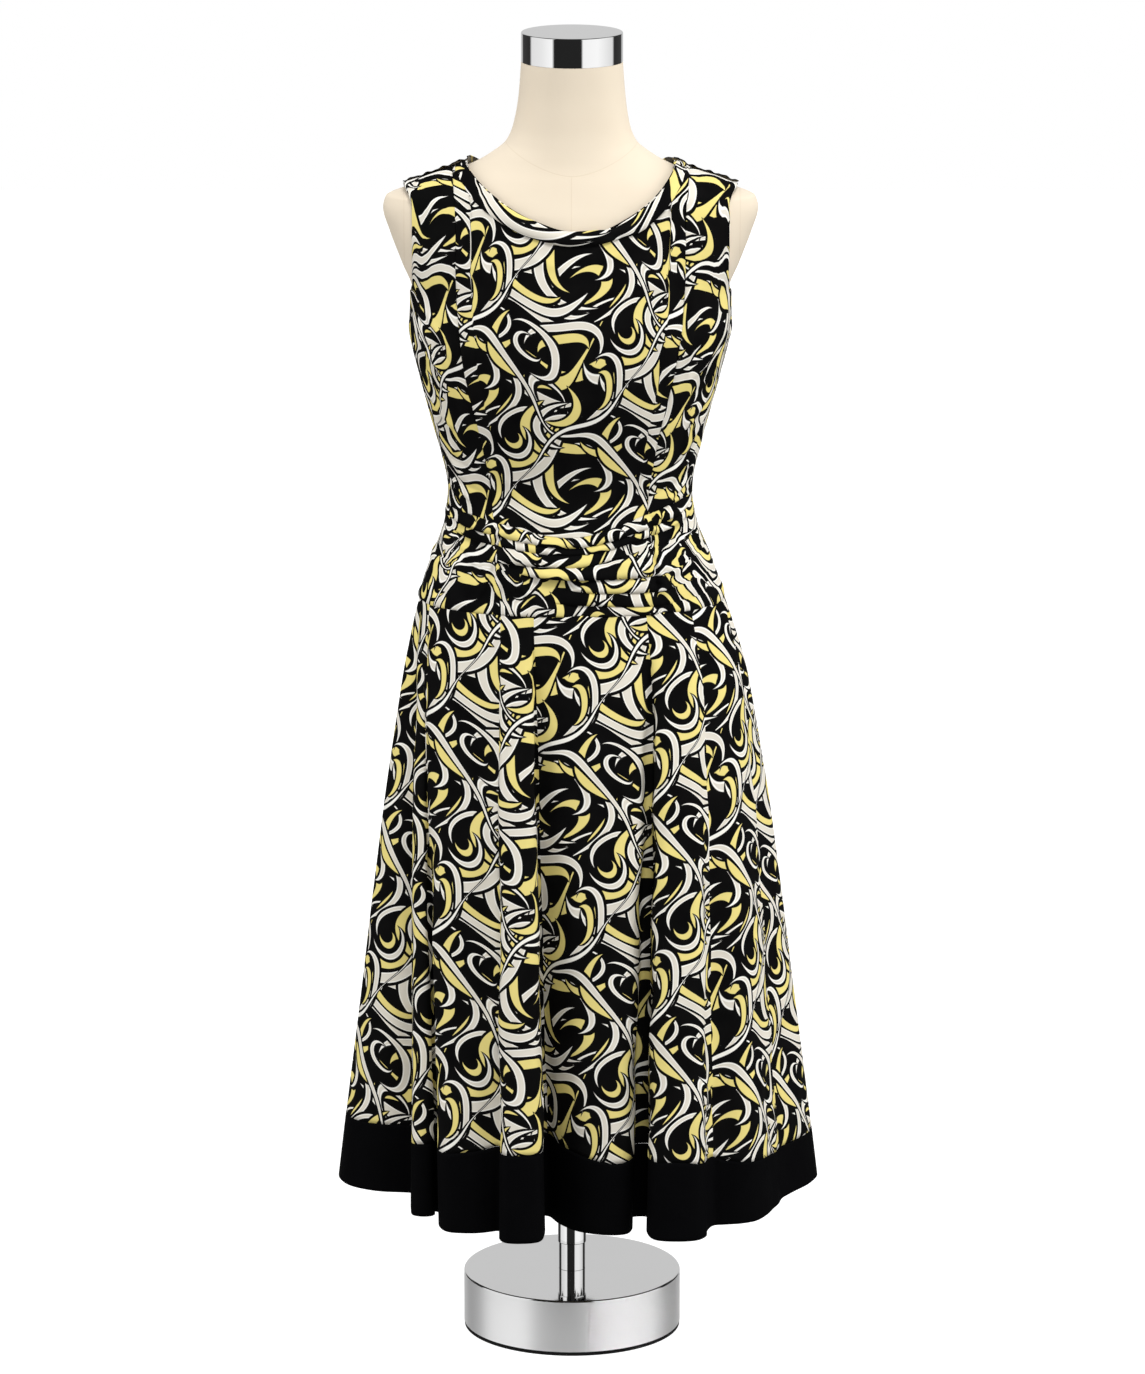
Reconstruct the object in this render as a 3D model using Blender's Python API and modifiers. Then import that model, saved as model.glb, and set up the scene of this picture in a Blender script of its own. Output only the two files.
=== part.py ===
"""Sleeveless flared jersey dress on a limbless dress form with a chrome telescoping stand.

Metres, +Z up. The base stands on the floor at z = 0, the pole runs up the z axis and the dress
faces -Y. "Left" is the -X side. Angles round the figure are in degrees from the front centre,
growing towards +X, so a ring runs left side, front, right side, back.
"""

import math
from collections import namedtuple

import bmesh
import bpy
from mathutils import Vector

# Driving sizes of the stand.
BASE_RADIUS = 0.1445
BASE_HEIGHT = 0.076
BASE_BEVEL = 0.0015
TUBE_RADIUS = 0.019
TUBE_WALL = 0.001
TUBE_BOTTOM = 0.113
ROD_WALL = 0.0015
ROD_TOP = 0.620
CAP_RADIUS = 0.0657
CAP_TOP = 1.743
CAP_WALL = 0.0015
SOCKET_DEPTH = 0.040
GAP = 0.0003

# Driving sizes of the dress.
CLOTH = 0.0015
SEAM_HALF = 0.0003
HEM = 0.207
HIP_SEAM = 1.000
UNDERARM = 1.406
STRAP_INNER = 0.133
SHOULDER = 1.546
BACK_NECK_CENTRE = 1.532
FOLD_RISE = 0.0045

# Level sections of the dress form: reach from the pole axis to the side, front and back, and the
# power of the superellipse that joins them (2 is an ellipse, more is squarer).
Section = namedtuple("Section", "height side front back power")
FIGURE = (
    Section(0.800, 0.170, 0.100, 0.112, 2.1),
    Section(0.880, 0.184, 0.105, 0.124, 2.1),
    Section(0.950, 0.192, 0.108, 0.130, 2.1),
    Section(1.000, 0.188, 0.107, 0.124, 2.1),
    Section(1.050, 0.176, 0.101, 0.110, 2.1),
    Section(1.100, 0.160, 0.091, 0.095, 2.05),
    Section(1.144, 0.156, 0.086, 0.086, 2.0),
    Section(1.190, 0.164, 0.094, 0.085, 2.0),
    Section(1.250, 0.180, 0.108, 0.090, 2.1),
    Section(1.310, 0.1955, 0.1175, 0.0965, 2.15),
    Section(1.335, 0.2015, 0.1190, 0.0985, 2.2),
    Section(1.360, 0.2055, 0.1195, 0.1005, 2.2),
    Section(1.405, 0.2045, 0.115, 0.103, 2.2),
    Section(1.445, 0.219, 0.109, 0.104, 2.15),
    Section(1.485, 0.234, 0.102, 0.101, 2.1),
    Section(1.515, 0.2425, 0.094, 0.098, 2.0),
    Section(1.530, 0.239, 0.088, 0.094, 2.0),
    Section(1.540, 0.216, 0.084, 0.091, 2.0),
    Section(1.5555, 0.170, 0.078, 0.086, 2.0),
    Section(1.571, 0.129, 0.072, 0.079, 2.0),
    Section(1.5825, 0.108, 0.069, 0.075, 2.0),
    Section(1.602, 0.084, 0.066, 0.070, 2.0),
    Section(1.622, 0.0755, 0.064, 0.067, 2.0),
    Section(1.660, 0.069, 0.063, 0.065, 2.0),
    Section(1.705, 0.0655, 0.0655, 0.0655, 2.0),
)

# How far the cloth's inner face stands off the form: outwards, and above its slope.
Ease = namedtuple("Ease", "height out up")
EASE = (
    Ease(1.000, 0.0100, 0.0),
    Ease(1.070, 0.0060, 0.0),
    Ease(1.144, 0.0017, 0.0),
    Ease(1.250, 0.0022, 0.0),
    Ease(1.420, 0.0025, 0.0),
    Ease(1.500, 0.0026, 0.0018),
    Ease(1.545, 0.0030, 0.0042),
    Ease(1.600, 0.0030, 0.0048),
)

# Lines on the bodice. The princess seam and the armhole edge give a distance from the centre line
# at each height; the waist seam gives a height at each share of the way to the side seam.
Line = namedtuple("Line", "height reach")
PRINCESS = (
    Line(1.090, 0.098),
    Line(1.143, 0.101),
    Line(1.222, 0.114),
    Line(1.281, 0.128),
    Line(1.330, 0.138),
    Line(1.384, 0.1445),
    Line(1.430, 0.147),
    Line(1.515, 0.148),
    Line(1.570, 0.153),
)
ARMHOLE = (
    Line(1.406, 0.2061),
    Line(1.412, 0.2045),
    Line(1.436, 0.2035),
    Line(1.524, 0.2035),
    Line(1.538, 0.2075),
    Line(1.546, 0.2165),
)
Seam = namedtuple("Seam", "share height")
WAIST_SEAM = (
    Seam(-1.0, 1.125),
    Seam(-0.6, 1.113),
    Seam(0.0, 1.097),
    Seam(0.6, 1.122),
    Seam(1.0, 1.141),
)

# The soft fold along the front neckline, from the left shoulder to the right: its upper edge is
# the neckline, its lower edge lies on the bodice.
FoldEdge = namedtuple("FoldEdge", "upper_x upper_z lower_x lower_z")
NECK_FOLD = (
    FoldEdge(-0.135, 1.5745, -0.146, 1.5675),
    FoldEdge(-0.122, 1.5615, -0.135, 1.5530),
    FoldEdge(-0.104, 1.5455, -0.119, 1.5340),
    FoldEdge(-0.078, 1.5275, -0.090, 1.5120),
    FoldEdge(-0.045, 1.5120, -0.050, 1.4925),
    FoldEdge(0.000, 1.4990, 0.000, 1.4820),
    FoldEdge(0.042, 1.5020, 0.044, 1.4850),
    FoldEdge(0.072, 1.5145, 0.082, 1.4965),
    FoldEdge(0.098, 1.5310, 0.110, 1.5170),
    FoldEdge(0.119, 1.5510, 0.130, 1.5400),
    FoldEdge(0.135, 1.5745, 0.146, 1.5670),
)

# Swooping gathers of the midriff, top to bottom: the height of each ridge at the side seams, at
# the two gathered lines and at its dip on the centre front, and how proud it stands.
RUCHE_SHARES = (-1.0, -0.6, 0.0, 0.6, 1.0)
Ruche = namedtuple("Ruche", "side_left gather_left dip gather_right side_right proud")
RUCHES = (
    Ruche(1.118, 1.105, 1.089, 1.114, 1.132, 0.0055),
    Ruche(1.098, 1.091, 1.073, 1.095, 1.110, 0.0045),
    Ruche(1.077, 1.076, 1.056, 1.075, 1.087, 0.0050),
    Ruche(1.055, 1.059, 1.039, 1.055, 1.064, 0.0040),
    Ruche(1.031, 1.038, 1.020, 1.033, 1.038, 0.0035),
)

# Hanging folds of the skirt, in ring order. Each hangs in a straight line from its share of the hip
# seam (degrees) to its crest at the hem (x, y), faces the given way, and runs "before" and
# "after" the crest to a foot that falls back that far.
Fold = namedtuple("Fold", "name hip_from hip_to x y facing before fall_before after fall_after")
FOLDS = (
    Fold("left_side", -100, -80, -0.311, 0.000, -90, 0.085, 0.060, 0.085, 0.100),
    Fold("front_1", -79, -70, -0.1985, -0.186, 0, 0.013, 0.095, 0.016, 0.022),
    Fold("front_2", -68, -27.5, -0.130, -0.257, 0, 0.043, 0.087, 0.031, 0.010),
    Fold("front_pleat_left", -26.5, -14.5, -0.065, -0.301, 0, 0.0285, 0.052, 0.027, 0.119),
    Fold("front_3", -13.5, 26.5, 0.047, -0.265, 0, 0.077, 0.080, 0.029, 0.076),
    Fold("front_pleat_right", 27.8, 48.5, 0.136, -0.292, 0, 0.038, 0.105, 0.038, 0.048),
    Fold("front_4", 50, 79, 0.238, -0.205, 50, 0.050, 0.030, 0.075, 0.022),
    Fold("right_side", 81, 99, 0.325, 0.000, 90, 0.108, 0.050, 0.082, 0.055),
    Fold("back_1", 101, 128, 0.247, 0.170, 126, 0.044, 0.026, 0.042, 0.030),
    Fold("back_2", 130, 156, 0.138, 0.246, 154, 0.046, 0.036, 0.042, 0.042),
    Fold("back_3", 158, 201, 0.002, 0.262, 180, 0.044, 0.046, 0.038, 0.040),
    Fold("back_4", 203, 229, -0.124, 0.244, 205, 0.042, 0.030, 0.046, 0.038),
    Fold("back_5", 231, 259, -0.236, 0.178, 232, 0.042, 0.032, 0.040, 0.028),
)
POINTS_IN_FOLD = 7
CREST = 3

# The skirt rounds out a little over the hip before it falls straight.
Swell = namedtuple("Swell", "height factor")
SWELL = (
    Swell(0.207, 1.000),
    Swell(0.330, 1.012),
    Swell(0.450, 1.022),
    Swell(0.610, 1.041),
    Swell(0.770, 1.055),
    Swell(0.890, 1.053),
    Swell(0.950, 1.032),
    Swell(1.000, 1.000),
)

# The form leans a little to the left above the hips, and the skirt swings to the right below.
Lean = namedtuple("Lean", "height shift")
LEAN = (
    Lean(0.207, 0.0010),
    Lean(0.450, 0.0026),
    Lean(0.770, 0.0040),
    Lean(0.890, 0.0038),
    Lean(1.000, 0.0000),
    Lean(1.144, -0.0025),
    Lean(1.280, -0.0035),
    Lean(1.400, -0.0020),
    Lean(1.540, -0.0018),
    Lean(1.660, 0.0000),
)

# Depth of the plain band sewn round the hem, by angle round the hip.
Band = namedtuple("Band", "angle depth")
HEM_BAND = (
    Band(-100, 0.084),
    Band(-45, 0.105),
    Band(-15, 0.112),
    Band(10, 0.092),
    Band(37, 0.100),
    Band(60, 0.080),
    Band(90, 0.066),
    Band(180, 0.086),
    Band(260, 0.084),
)


# Reading the tables.


def column(rows, name):
    return [getattr(row, name) for row in rows]


def smooth(places, values, at):
    """Value at a place between the given ones, on a smooth curve that never overshoots."""
    if at <= places[0]:
        return values[0]
    if at >= places[-1]:
        return values[-1]
    steps = [b - a for a, b in zip(places, places[1:])]
    slopes = [(b - a) / step for a, b, step in zip(values, values[1:], steps)]
    tangents = [slopes[0]]
    for before, after in zip(slopes, slopes[1:]):
        tangents.append(2 * before * after / (before + after) if before * after > 0 else 0.0)
    tangents.append(slopes[-1])
    i = max(k for k in range(len(steps)) if places[k] <= at)
    t = (at - places[i]) / steps[i]
    start = (1 + 2 * t) * (1 - t) ** 2 * values[i] + t * (1 - t) ** 2 * steps[i] * tangents[i]
    end = t * t * (3 - 2 * t) * values[i + 1] - t * t * (1 - t) * steps[i] * tangents[i + 1]
    return start + end


def mix(a, b, share):
    return a + (b - a) * share


def form_section(height):
    """(side, front, back, power) of the dress form at a height."""
    heights = column(FIGURE, "height")
    names = ("side", "front", "back", "power")
    return [smooth(heights, column(FIGURE, name), height) for name in names]


def cloth_section(height):
    """The same for the inner face of the cloth over it."""
    heights = column(EASE, "height")
    out = smooth(heights, column(EASE, "out"), height)
    up = smooth(heights, column(EASE, "up"), height)
    side, front, back, power = form_section(height - up)
    return side + out, front + out, back + out, power


def lean(height):
    return smooth(column(LEAN, "height"), column(LEAN, "shift"), height)


def ring_point(angle, height, section):
    """Point at an angle round a section."""
    side, front, back, power = section
    across, along = math.sin(math.radians(angle)), -math.cos(math.radians(angle))
    depth = front if along < 0 else back
    x = lean(height) + side * math.copysign(abs(across) ** (2 / power), across)
    y = depth * math.copysign(abs(along) ** (2 / power), along)
    return Vector((x, y, height))


# Points on the bodice, by distance from the centre line and height.


def bodice_point(x, height, facing):
    """Point on the cloth's inner face; facing is -1 on the front and 1 on the back."""
    side, front, back, power = cloth_section(height)
    depth = front if facing < 0 else back
    share = min(abs(x) / side, 1.0)
    y = facing * (depth * (1 - share**power) ** (1 / power) + SEAM_HALF)
    return Vector((lean(height) + math.copysign(share * side, x), y, height))


def shoulder_point(x, facing):
    """Point on the shoulder seam."""
    height = shoulder_height(x)
    return Vector((lean(height) + x, facing * SEAM_HALF, height))


def fullness(x, y, height):
    side, front, back, power = cloth_section(height)
    return (abs(x - lean(height)) / side) ** power + (abs(y) / (front if y < 0 else back)) ** power


def moved_out(point, distance):
    """The point moved square off the cloth's surface."""
    step = 0.0005
    x, y, z = point
    slope = Vector(
        (
            fullness(x + step, y, z) - fullness(x - step, y, z),
            fullness(x, y + step, z) - fullness(x, y - step, z),
            fullness(x, y, z + step) - fullness(x, y, z - step),
        )
    )
    return point + slope.normalized() * distance


def side_reach(height):
    return cloth_section(height)[0]


def shoulder_height(x):
    """Height of the shoulder line at a distance from the centre line."""
    low, high = 1.530, 1.620
    for _ in range(30):
        middle = (low + high) / 2
        if side_reach(middle) > abs(x):
            low = middle
        else:
            high = middle
    return low


def princess(height):
    return smooth(column(PRINCESS, "height"), column(PRINCESS, "reach"), height)


def outer_reach(height):
    """Side seam below the underarm, armhole edge above it."""
    if height <= UNDERARM:
        return side_reach(height)
    return smooth(column(ARMHOLE, "height"), column(ARMHOLE, "reach"), height)


def front_neck_height(x):
    return smooth(column(NECK_FOLD, "upper_x"), column(NECK_FOLD, "upper_z"), x)


def back_neck_height(x):
    share = min(abs(x) / STRAP_INNER, 1.0)
    return mix(BACK_NECK_CENTRE, shoulder_height(STRAP_INNER), share**2.5)


def waist_height(share):
    return smooth(column(WAIST_SEAM, "share"), column(WAIST_SEAM, "height"), share)


def waist_end(reach):
    """Where the waist seam crosses a line that lies reach(height) from the centre line."""
    height = waist_height(0)
    for _ in range(12):
        height = waist_height(reach(height) / side_reach(height))
    return height


# Points on the skirt, by place in the ring of folds and height.


def fold_half(half, fall):
    """Brow, edge and foot beside a crest, as (sideways, inwards): soft if shallow, boxy if deep."""
    boxy = min(max((fall / half - 0.9) / 0.5, 0.0), 1.0)
    brow = (half * mix(0.40, 0.72, boxy), fall * mix(0.24, 0.06, boxy))
    edge = (half * mix(0.75, 1.00, boxy), fall * mix(0.70, 0.36, boxy))
    return brow, edge, (half, fall)


def fold_lines():
    """(hip angle, hem point) of each line of the skirt, in ring order."""
    lines = []
    for fold in FOLDS:
        turn = math.radians(fold.facing)
        out = Vector((math.sin(turn), -math.cos(turn)))
        along = Vector((math.cos(turn), math.sin(turn)))
        before = [(-s, d) for s, d in reversed(fold_half(fold.before, fold.fall_before))]
        after = list(fold_half(fold.after, fold.fall_after))
        middle = (fold.hip_from + fold.hip_to) / 2
        half_span = (fold.hip_to - fold.hip_from) / 2
        for place, (sideways, inwards) in enumerate([*before, (0.0, 0.0), *after]):
            reach = fold.before if place < CREST else fold.after
            share = math.copysign(1.0, sideways) if place in (0, 6) else 0.82 * sideways / reach
            hem = Vector((fold.x, fold.y)) + along * sideways - out * inwards
            lines.append((middle + half_span * share, hem))
    return lines


def skirt_point(line, height):
    angle, hem = line
    hip = ring_point(angle, HIP_SEAM, cloth_section(HIP_SEAM)).to_2d()
    drop = (HIP_SEAM - height) / (HIP_SEAM - HEM)
    plan = hip.lerp(hem, drop) * smooth(column(SWELL, "height"), column(SWELL, "factor"), height)
    return Vector((lean(height) + plan.x, plan.y, height))


def band_top(angle):
    if angle < -100:
        angle += 360
    return HEM + smooth(column(HEM_BAND, "angle"), column(HEM_BAND, "depth"), angle)


# Making objects.


def new_material(name, colour, roughness, metallic=0.0):
    material = bpy.data.materials.new(name)
    material.use_nodes = True
    shader = material.node_tree.nodes["Principled BSDF"]
    shader.inputs["Base Color"].default_value = (*colour, 1.0)
    shader.inputs["Roughness"].default_value = roughness
    shader.inputs["Metallic"].default_value = metallic
    return material


def new_object(name, mesh, material):
    item = bpy.data.objects.new(name, mesh)
    item.data.materials.append(material)
    pieces.objects.link(item)
    return item


def mapped_grid(name, columns, rows, place):
    """A grid whose vertex (column, row) is moved to place(column, row)."""
    grid = bmesh.new()
    bmesh.ops.create_grid(grid, x_segments=columns, y_segments=rows, size=0.5)
    for vertex in grid.verts:
        at_column = round((vertex.co.x + 0.5) * columns)
        at_row = round((vertex.co.y + 0.5) * rows)
        vertex.co = place(at_column, at_row)
    mesh = bpy.data.meshes.new(name)
    grid.to_mesh(mesh)
    grid.free()
    mesh.shade_smooth()
    return mesh


def cloth_piece(name, columns, rows, place, material):
    """A cut piece of cloth: the mapped grid is its inner face."""
    item = new_object(name, mapped_grid(name, columns, rows, place), material)
    wall = item.modifiers.new("Wall", "SOLIDIFY")
    wall.thickness = CLOTH
    wall.offset = 1.0
    item.parent = carriage
    return item


def turned_piece(name, profile, steps, material, closed=False):
    """A piece turned round the z axis from (radius, height) pairs, outer side top to bottom."""
    mesh = bpy.data.meshes.new(name)
    count = len(profile)
    edges = [(i, i + 1) for i in range(count - 1)]
    if closed:
        edges.append((count - 1, 0))
    mesh.from_pydata([(radius, 0.0, height) for radius, height in profile], edges, [])
    item = new_object(name, mesh, material)
    turn = item.modifiers.new("Turn", "SCREW")
    turn.steps = steps
    turn.render_steps = steps
    turn.use_merge_vertices = True
    turn.merge_threshold = 0.00001
    return item


# Pieces.

BODICE_ROWS = 9
UPPER_ROWS = (0.025, 0.09, 0.22, 0.42, 0.64, 0.82, 0.93, 0.985, 1.0)
SKIRT_HEIGHTS = (0.430, 0.570, 0.690, 0.790, 0.870, 0.925, 0.965)


def bodice_height(row, bottom, top):
    """Even rows up to the underarm, then rows that close up towards the shoulder."""
    if row <= BODICE_ROWS:
        return mix(bottom, UNDERARM, row / BODICE_ROWS)
    return mix(UNDERARM, top, UPPER_ROWS[row - BODICE_ROWS - 1])


def bodice_piece(name, columns, facing, reach, bottom, neck_height):
    """Cloth with columns at distances reach(column, height) from the centre line."""
    rows = BODICE_ROWS + len(UPPER_ROWS)

    def place(at_column, at_row):
        x = reach(at_column, SHOULDER)
        x = reach(at_column, shoulder_height(x))
        at_neck = abs(x) < STRAP_INNER
        if at_row == rows and not at_neck:
            return shoulder_point(x, facing)
        top = neck_height(x) if at_neck else shoulder_height(x)
        height = bodice_height(at_row, bottom(at_column), top)
        return bodice_point(reach(at_column, height), height, facing)

    cloth_piece(name, columns, rows, place, printed)


def make_front_centre():
    """Between the princess seams, from the waist seam to the neckline and the inner shoulders."""
    shares = (0.0, 0.20, 0.40, 0.58, 0.70, 0.79, 0.84, 0.8855, 1.0)
    shares = [-share for share in reversed(shares[1:])] + list(shares)

    def reach(at_column, height):
        return shares[at_column] * (princess(height) - SEAM_HALF)

    def bottom(at_column):
        return waist_end(lambda height: reach(at_column, height)) + SEAM_HALF

    bodice_piece("front_centre", len(shares) - 1, -1, reach, bottom, front_neck_height)


def make_front_side(name, hand):
    """Outside a princess seam, from the waist seam to the shoulder, round under the armhole."""
    columns = 7

    def reach(at_column, height):
        order = at_column if hand > 0 else columns - at_column
        inner = princess(height) + SEAM_HALF
        return hand * mix(inner, outer_reach(height), math.sin(math.pi / 2 * order / columns))

    def bottom(at_column):
        return waist_end(lambda height: reach(at_column, height)) + SEAM_HALF

    bodice_piece(name, columns, -1, reach, bottom, front_neck_height)


def make_back():
    """The whole back from the hip seam to the back neckline and the shoulders."""
    turns = (0, 10, 20, 29, 35, 38.6, 48, 58, 68, 79, 90)
    shares = [math.sin(math.radians(turn)) for turn in turns]
    shares = list(reversed(shares)) + [-share for share in shares[1:]]

    def reach(at_column, height):
        return shares[at_column] * outer_reach(height)

    def bottom(at_column):
        return HIP_SEAM + SEAM_HALF

    bodice_piece("back", len(shares) - 1, 1, reach, bottom, back_neck_height)


def make_neck_fold():
    """The soft turned fold that lies on the bodice along the front neckline."""
    columns, rows = 24, 5
    lift = CLOTH + 0.0011
    places = [i / (len(NECK_FOLD) - 1) for i in range(len(NECK_FOLD))]

    def place(at_column, at_row):
        along, across = (1 - math.cos(math.pi * at_column / columns)) / 2, at_row / rows
        lower_x, lower_z, upper_x, upper_z = (
            smooth(places, column(NECK_FOLD, name), along)
            for name in ("lower_x", "lower_z", "upper_x", "upper_z")
        )
        x, height = mix(lower_x, upper_x, across), mix(lower_z, upper_z, across)
        point = bodice_point(x, min(height, shoulder_height(x) - 0.0002), -1)
        if at_column in (0, columns):
            point = shoulder_point(x, -1)
        rise = FOLD_RISE * mix(0.1, 1.0, math.sin(math.pi * along) ** 0.5)
        return moved_out(point, lift + rise * math.sin(math.pi * across) ** 0.7)

    cloth_piece("neck_fold", columns, rows, place, printed)


def make_midriff():
    """The gathered front between the waist seam and the hip seam: its rows follow the gathers."""
    columns = 26
    rows = 2 * len(RUCHES) + 2
    names = Ruche._fields[:-1]

    def ridge_height(number, share):
        if number < 0:
            return waist_height(share) - SEAM_HALF
        if number >= len(RUCHES):
            return HIP_SEAM + SEAM_HALF
        return smooth(RUCHE_SHARES, [getattr(RUCHES[number], name) for name in names], share)

    def place(at_column, at_row):
        share = math.sin(math.radians(mix(-90, 90, at_column / columns)))
        from_top = rows - at_row
        number, on_ridge = from_top // 2 - 1, from_top % 2 == 0
        height = ridge_height(number, share)
        proud = 0.0
        if not on_ridge:
            height = (height + ridge_height(number + 1, share)) / 2
        elif 0 <= number < len(RUCHES):
            proud = RUCHES[number].proud * (1 - 0.7 * abs(share) ** 6)
        return moved_out(bodice_point(share * side_reach(height), height, -1), proud)

    cloth_piece("midriff", columns, rows, place, printed)


def make_skirt_piece(name, lines, facing, lower, upper, heights, material):
    """A stretch of the ring of folds between two levels, each given by the hip angle."""

    def place(at_column, at_row):
        line = lines[at_column]
        bottom, top = lower(line[0]) + SEAM_HALF, upper(line[0]) - SEAM_HALF
        height = [bottom, *heights, top][at_row]
        return skirt_point(line, height) + Vector((0, facing * SEAM_HALF, 0))

    cloth_piece(name, len(lines) - 1, len(heights) + 1, place, material)


def make_skirt():
    lines = fold_lines()
    right = 7 * POINTS_IN_FOLD + CREST
    front = lines[CREST : right + 1]
    back = lines[right:] + [(angle + 360, hem) for angle, hem in lines[: CREST + 1]]
    for side, stretch, facing in (("front", front, -1), ("back", back, 1)):
        make_skirt_piece(
            "skirt_" + side, stretch, facing, band_top, lambda angle: HIP_SEAM, SKIRT_HEIGHTS, printed
        )
        make_skirt_piece(
            "hem_band_" + side, stretch, facing, lambda angle: HEM - SEAM_HALF, band_top, (), black
        )


def make_torso():
    """The covered form: a socket for the tube below, a spigot for the cap above."""
    columns = 40
    socket = TUBE_RADIUS + GAP
    spigot = CAP_RADIUS - CAP_WALL - 2 * GAP
    bottom, neck = FIGURE[0].height, FIGURE[-1].height
    heights = [0.84, 0.88, 0.92, 0.95, 0.975, 1.00, 1.025, 1.05, 1.075, 1.10, 1.122, 1.144, 1.167]
    heights += [1.19, 1.22, 1.25, 1.28, 1.31, 1.335, 1.36, 1.383, 1.405, 1.425, 1.445, 1.465]
    heights += [1.485, 1.503, 1.515, 1.524, 1.530, 1.535, 1.540, 1.548, 1.5555, 1.563, 1.571]
    heights += [1.5825, 1.592, 1.602, 1.622, 1.660]
    rings = [(socket, bottom + SOCKET_DEPTH), (socket, bottom), (None, bottom)]
    rings += [(None, height) for height in heights]
    rings += [(None, neck), (spigot, neck), (spigot, CAP_TOP - CAP_WALL - GAP)]

    def place(at_column, at_row):
        angle = -180 + 360 * at_column / columns
        radius, height = rings[at_row]
        if radius is None:
            return ring_point(angle, height, form_section(height))
        turn = math.radians(angle)
        return Vector((radius * math.sin(turn), -radius * math.cos(turn), height))

    mesh = mapped_grid("form_torso", columns, len(rings) - 1, place)
    body = bmesh.new()
    body.from_mesh(mesh)
    bmesh.ops.remove_doubles(body, verts=body.verts, dist=0.00001)
    bmesh.ops.holes_fill(body, edges=body.edges, sides=0)
    body.to_mesh(mesh)
    body.free()
    mesh.set_sharp_from_angle(angle=math.radians(50))
    torso = new_object("form_torso", mesh, ivory)
    torso.parent = carriage


def make_stand():
    """Base and rod stay on the floor; tube and cap move with the form."""
    edge, rim = BASE_RADIUS, BASE_BEVEL
    base_profile = [(0, BASE_HEIGHT), (edge - rim, BASE_HEIGHT), (edge, BASE_HEIGHT - rim)]
    base_profile += [(edge, rim), (edge - rim, 0), (0, 0)]
    base = turned_piece("base", base_profile, 64, chrome)
    base.parent = footing

    bore = TUBE_RADIUS - TUBE_WALL
    rod_radius = bore - GAP
    low, high = BASE_HEIGHT + GAP, ROD_TOP
    rod_profile = [(rod_radius, high), (rod_radius, low), (rod_radius - ROD_WALL, low)]
    rod_profile.append((rod_radius - ROD_WALL, high))
    turned_piece("pole_inner", rod_profile, 32, chrome, closed=True).parent = footing

    low, high = TUBE_BOTTOM, FIGURE[0].height + SOCKET_DEPTH - GAP
    tube_profile = [(TUBE_RADIUS, high), (TUBE_RADIUS, low), (bore, low), (bore, high)]
    turned_piece("pole_outer", tube_profile, 32, chrome, closed=True).parent = carriage

    neck, inner, bevel = FIGURE[-1].height + GAP, CAP_RADIUS - CAP_WALL, BASE_BEVEL
    cap_profile = [(0, CAP_TOP), (CAP_RADIUS - bevel, CAP_TOP), (CAP_RADIUS, CAP_TOP - bevel)]
    cap_profile += [(CAP_RADIUS, neck), (inner, neck), (inner, CAP_TOP - CAP_WALL)]
    cap_profile.append((0, CAP_TOP - CAP_WALL))
    turned_piece("neck_cap", cap_profile, 48, chrome).parent = carriage


def new_empty(name, height):
    empty = bpy.data.objects.new(name, None)
    empty.location.z = height
    pieces.objects.link(empty)
    return empty


for leftover in list(bpy.data.objects):
    bpy.data.objects.remove(leftover, do_unlink=True)

pieces = bpy.data.collections.new("Dress on form")
bpy.context.scene.collection.children.link(pieces)
footing = new_empty("stand_frame", 0.0)
carriage = new_empty("figure_frame", 0.0)

printed = new_material("Printed jersey", (0.30, 0.28, 0.21), 0.65)
black = new_material("Black jersey", (0.012, 0.012, 0.013), 0.70)
ivory = new_material("Ivory form cover", (0.90, 0.80, 0.62), 0.80)
chrome = new_material("Chrome", (0.80, 0.80, 0.82), 0.08, 1.0)

make_stand()
make_torso()
make_front_centre()
make_front_side("front_side_left", -1)
make_front_side("front_side_right", 1)
make_back()
make_neck_fold()
make_midriff()
make_skirt()
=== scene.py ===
"""Looks of a sleeveless flared jersey dress on a limbless dress form with a chrome stand.

Metres, +Z up, the same frame as the solids: the base stands on the floor at z = 0 and the dress
faces -Y. Left is the -X side. The sections follow the order in which the thing is put together:
studio, stand, form, cloth, bodice, midriff, skirt, hem band.
"""

import math
from collections import namedtuple

import bmesh
import bpy
import numpy as np
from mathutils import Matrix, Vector


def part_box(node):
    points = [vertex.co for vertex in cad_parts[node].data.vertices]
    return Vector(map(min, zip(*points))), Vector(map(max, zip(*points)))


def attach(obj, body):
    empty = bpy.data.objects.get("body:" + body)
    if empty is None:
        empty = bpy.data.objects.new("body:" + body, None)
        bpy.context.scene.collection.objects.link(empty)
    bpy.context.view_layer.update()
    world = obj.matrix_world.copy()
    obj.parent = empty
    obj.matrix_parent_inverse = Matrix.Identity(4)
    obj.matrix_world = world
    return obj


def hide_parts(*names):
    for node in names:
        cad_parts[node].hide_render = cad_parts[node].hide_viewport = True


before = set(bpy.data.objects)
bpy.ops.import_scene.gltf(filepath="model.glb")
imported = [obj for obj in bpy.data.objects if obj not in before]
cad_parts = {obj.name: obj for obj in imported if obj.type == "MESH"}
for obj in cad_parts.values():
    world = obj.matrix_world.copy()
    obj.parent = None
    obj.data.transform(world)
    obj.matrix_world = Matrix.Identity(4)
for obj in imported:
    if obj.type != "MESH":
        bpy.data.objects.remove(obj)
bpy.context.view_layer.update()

# ------------------
# Studio: a white floor and a white surround, lit softly from both sides and from above. The
# chrome sees a banded surround, as between two soft boxes with a dark gap behind the camera.

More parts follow.
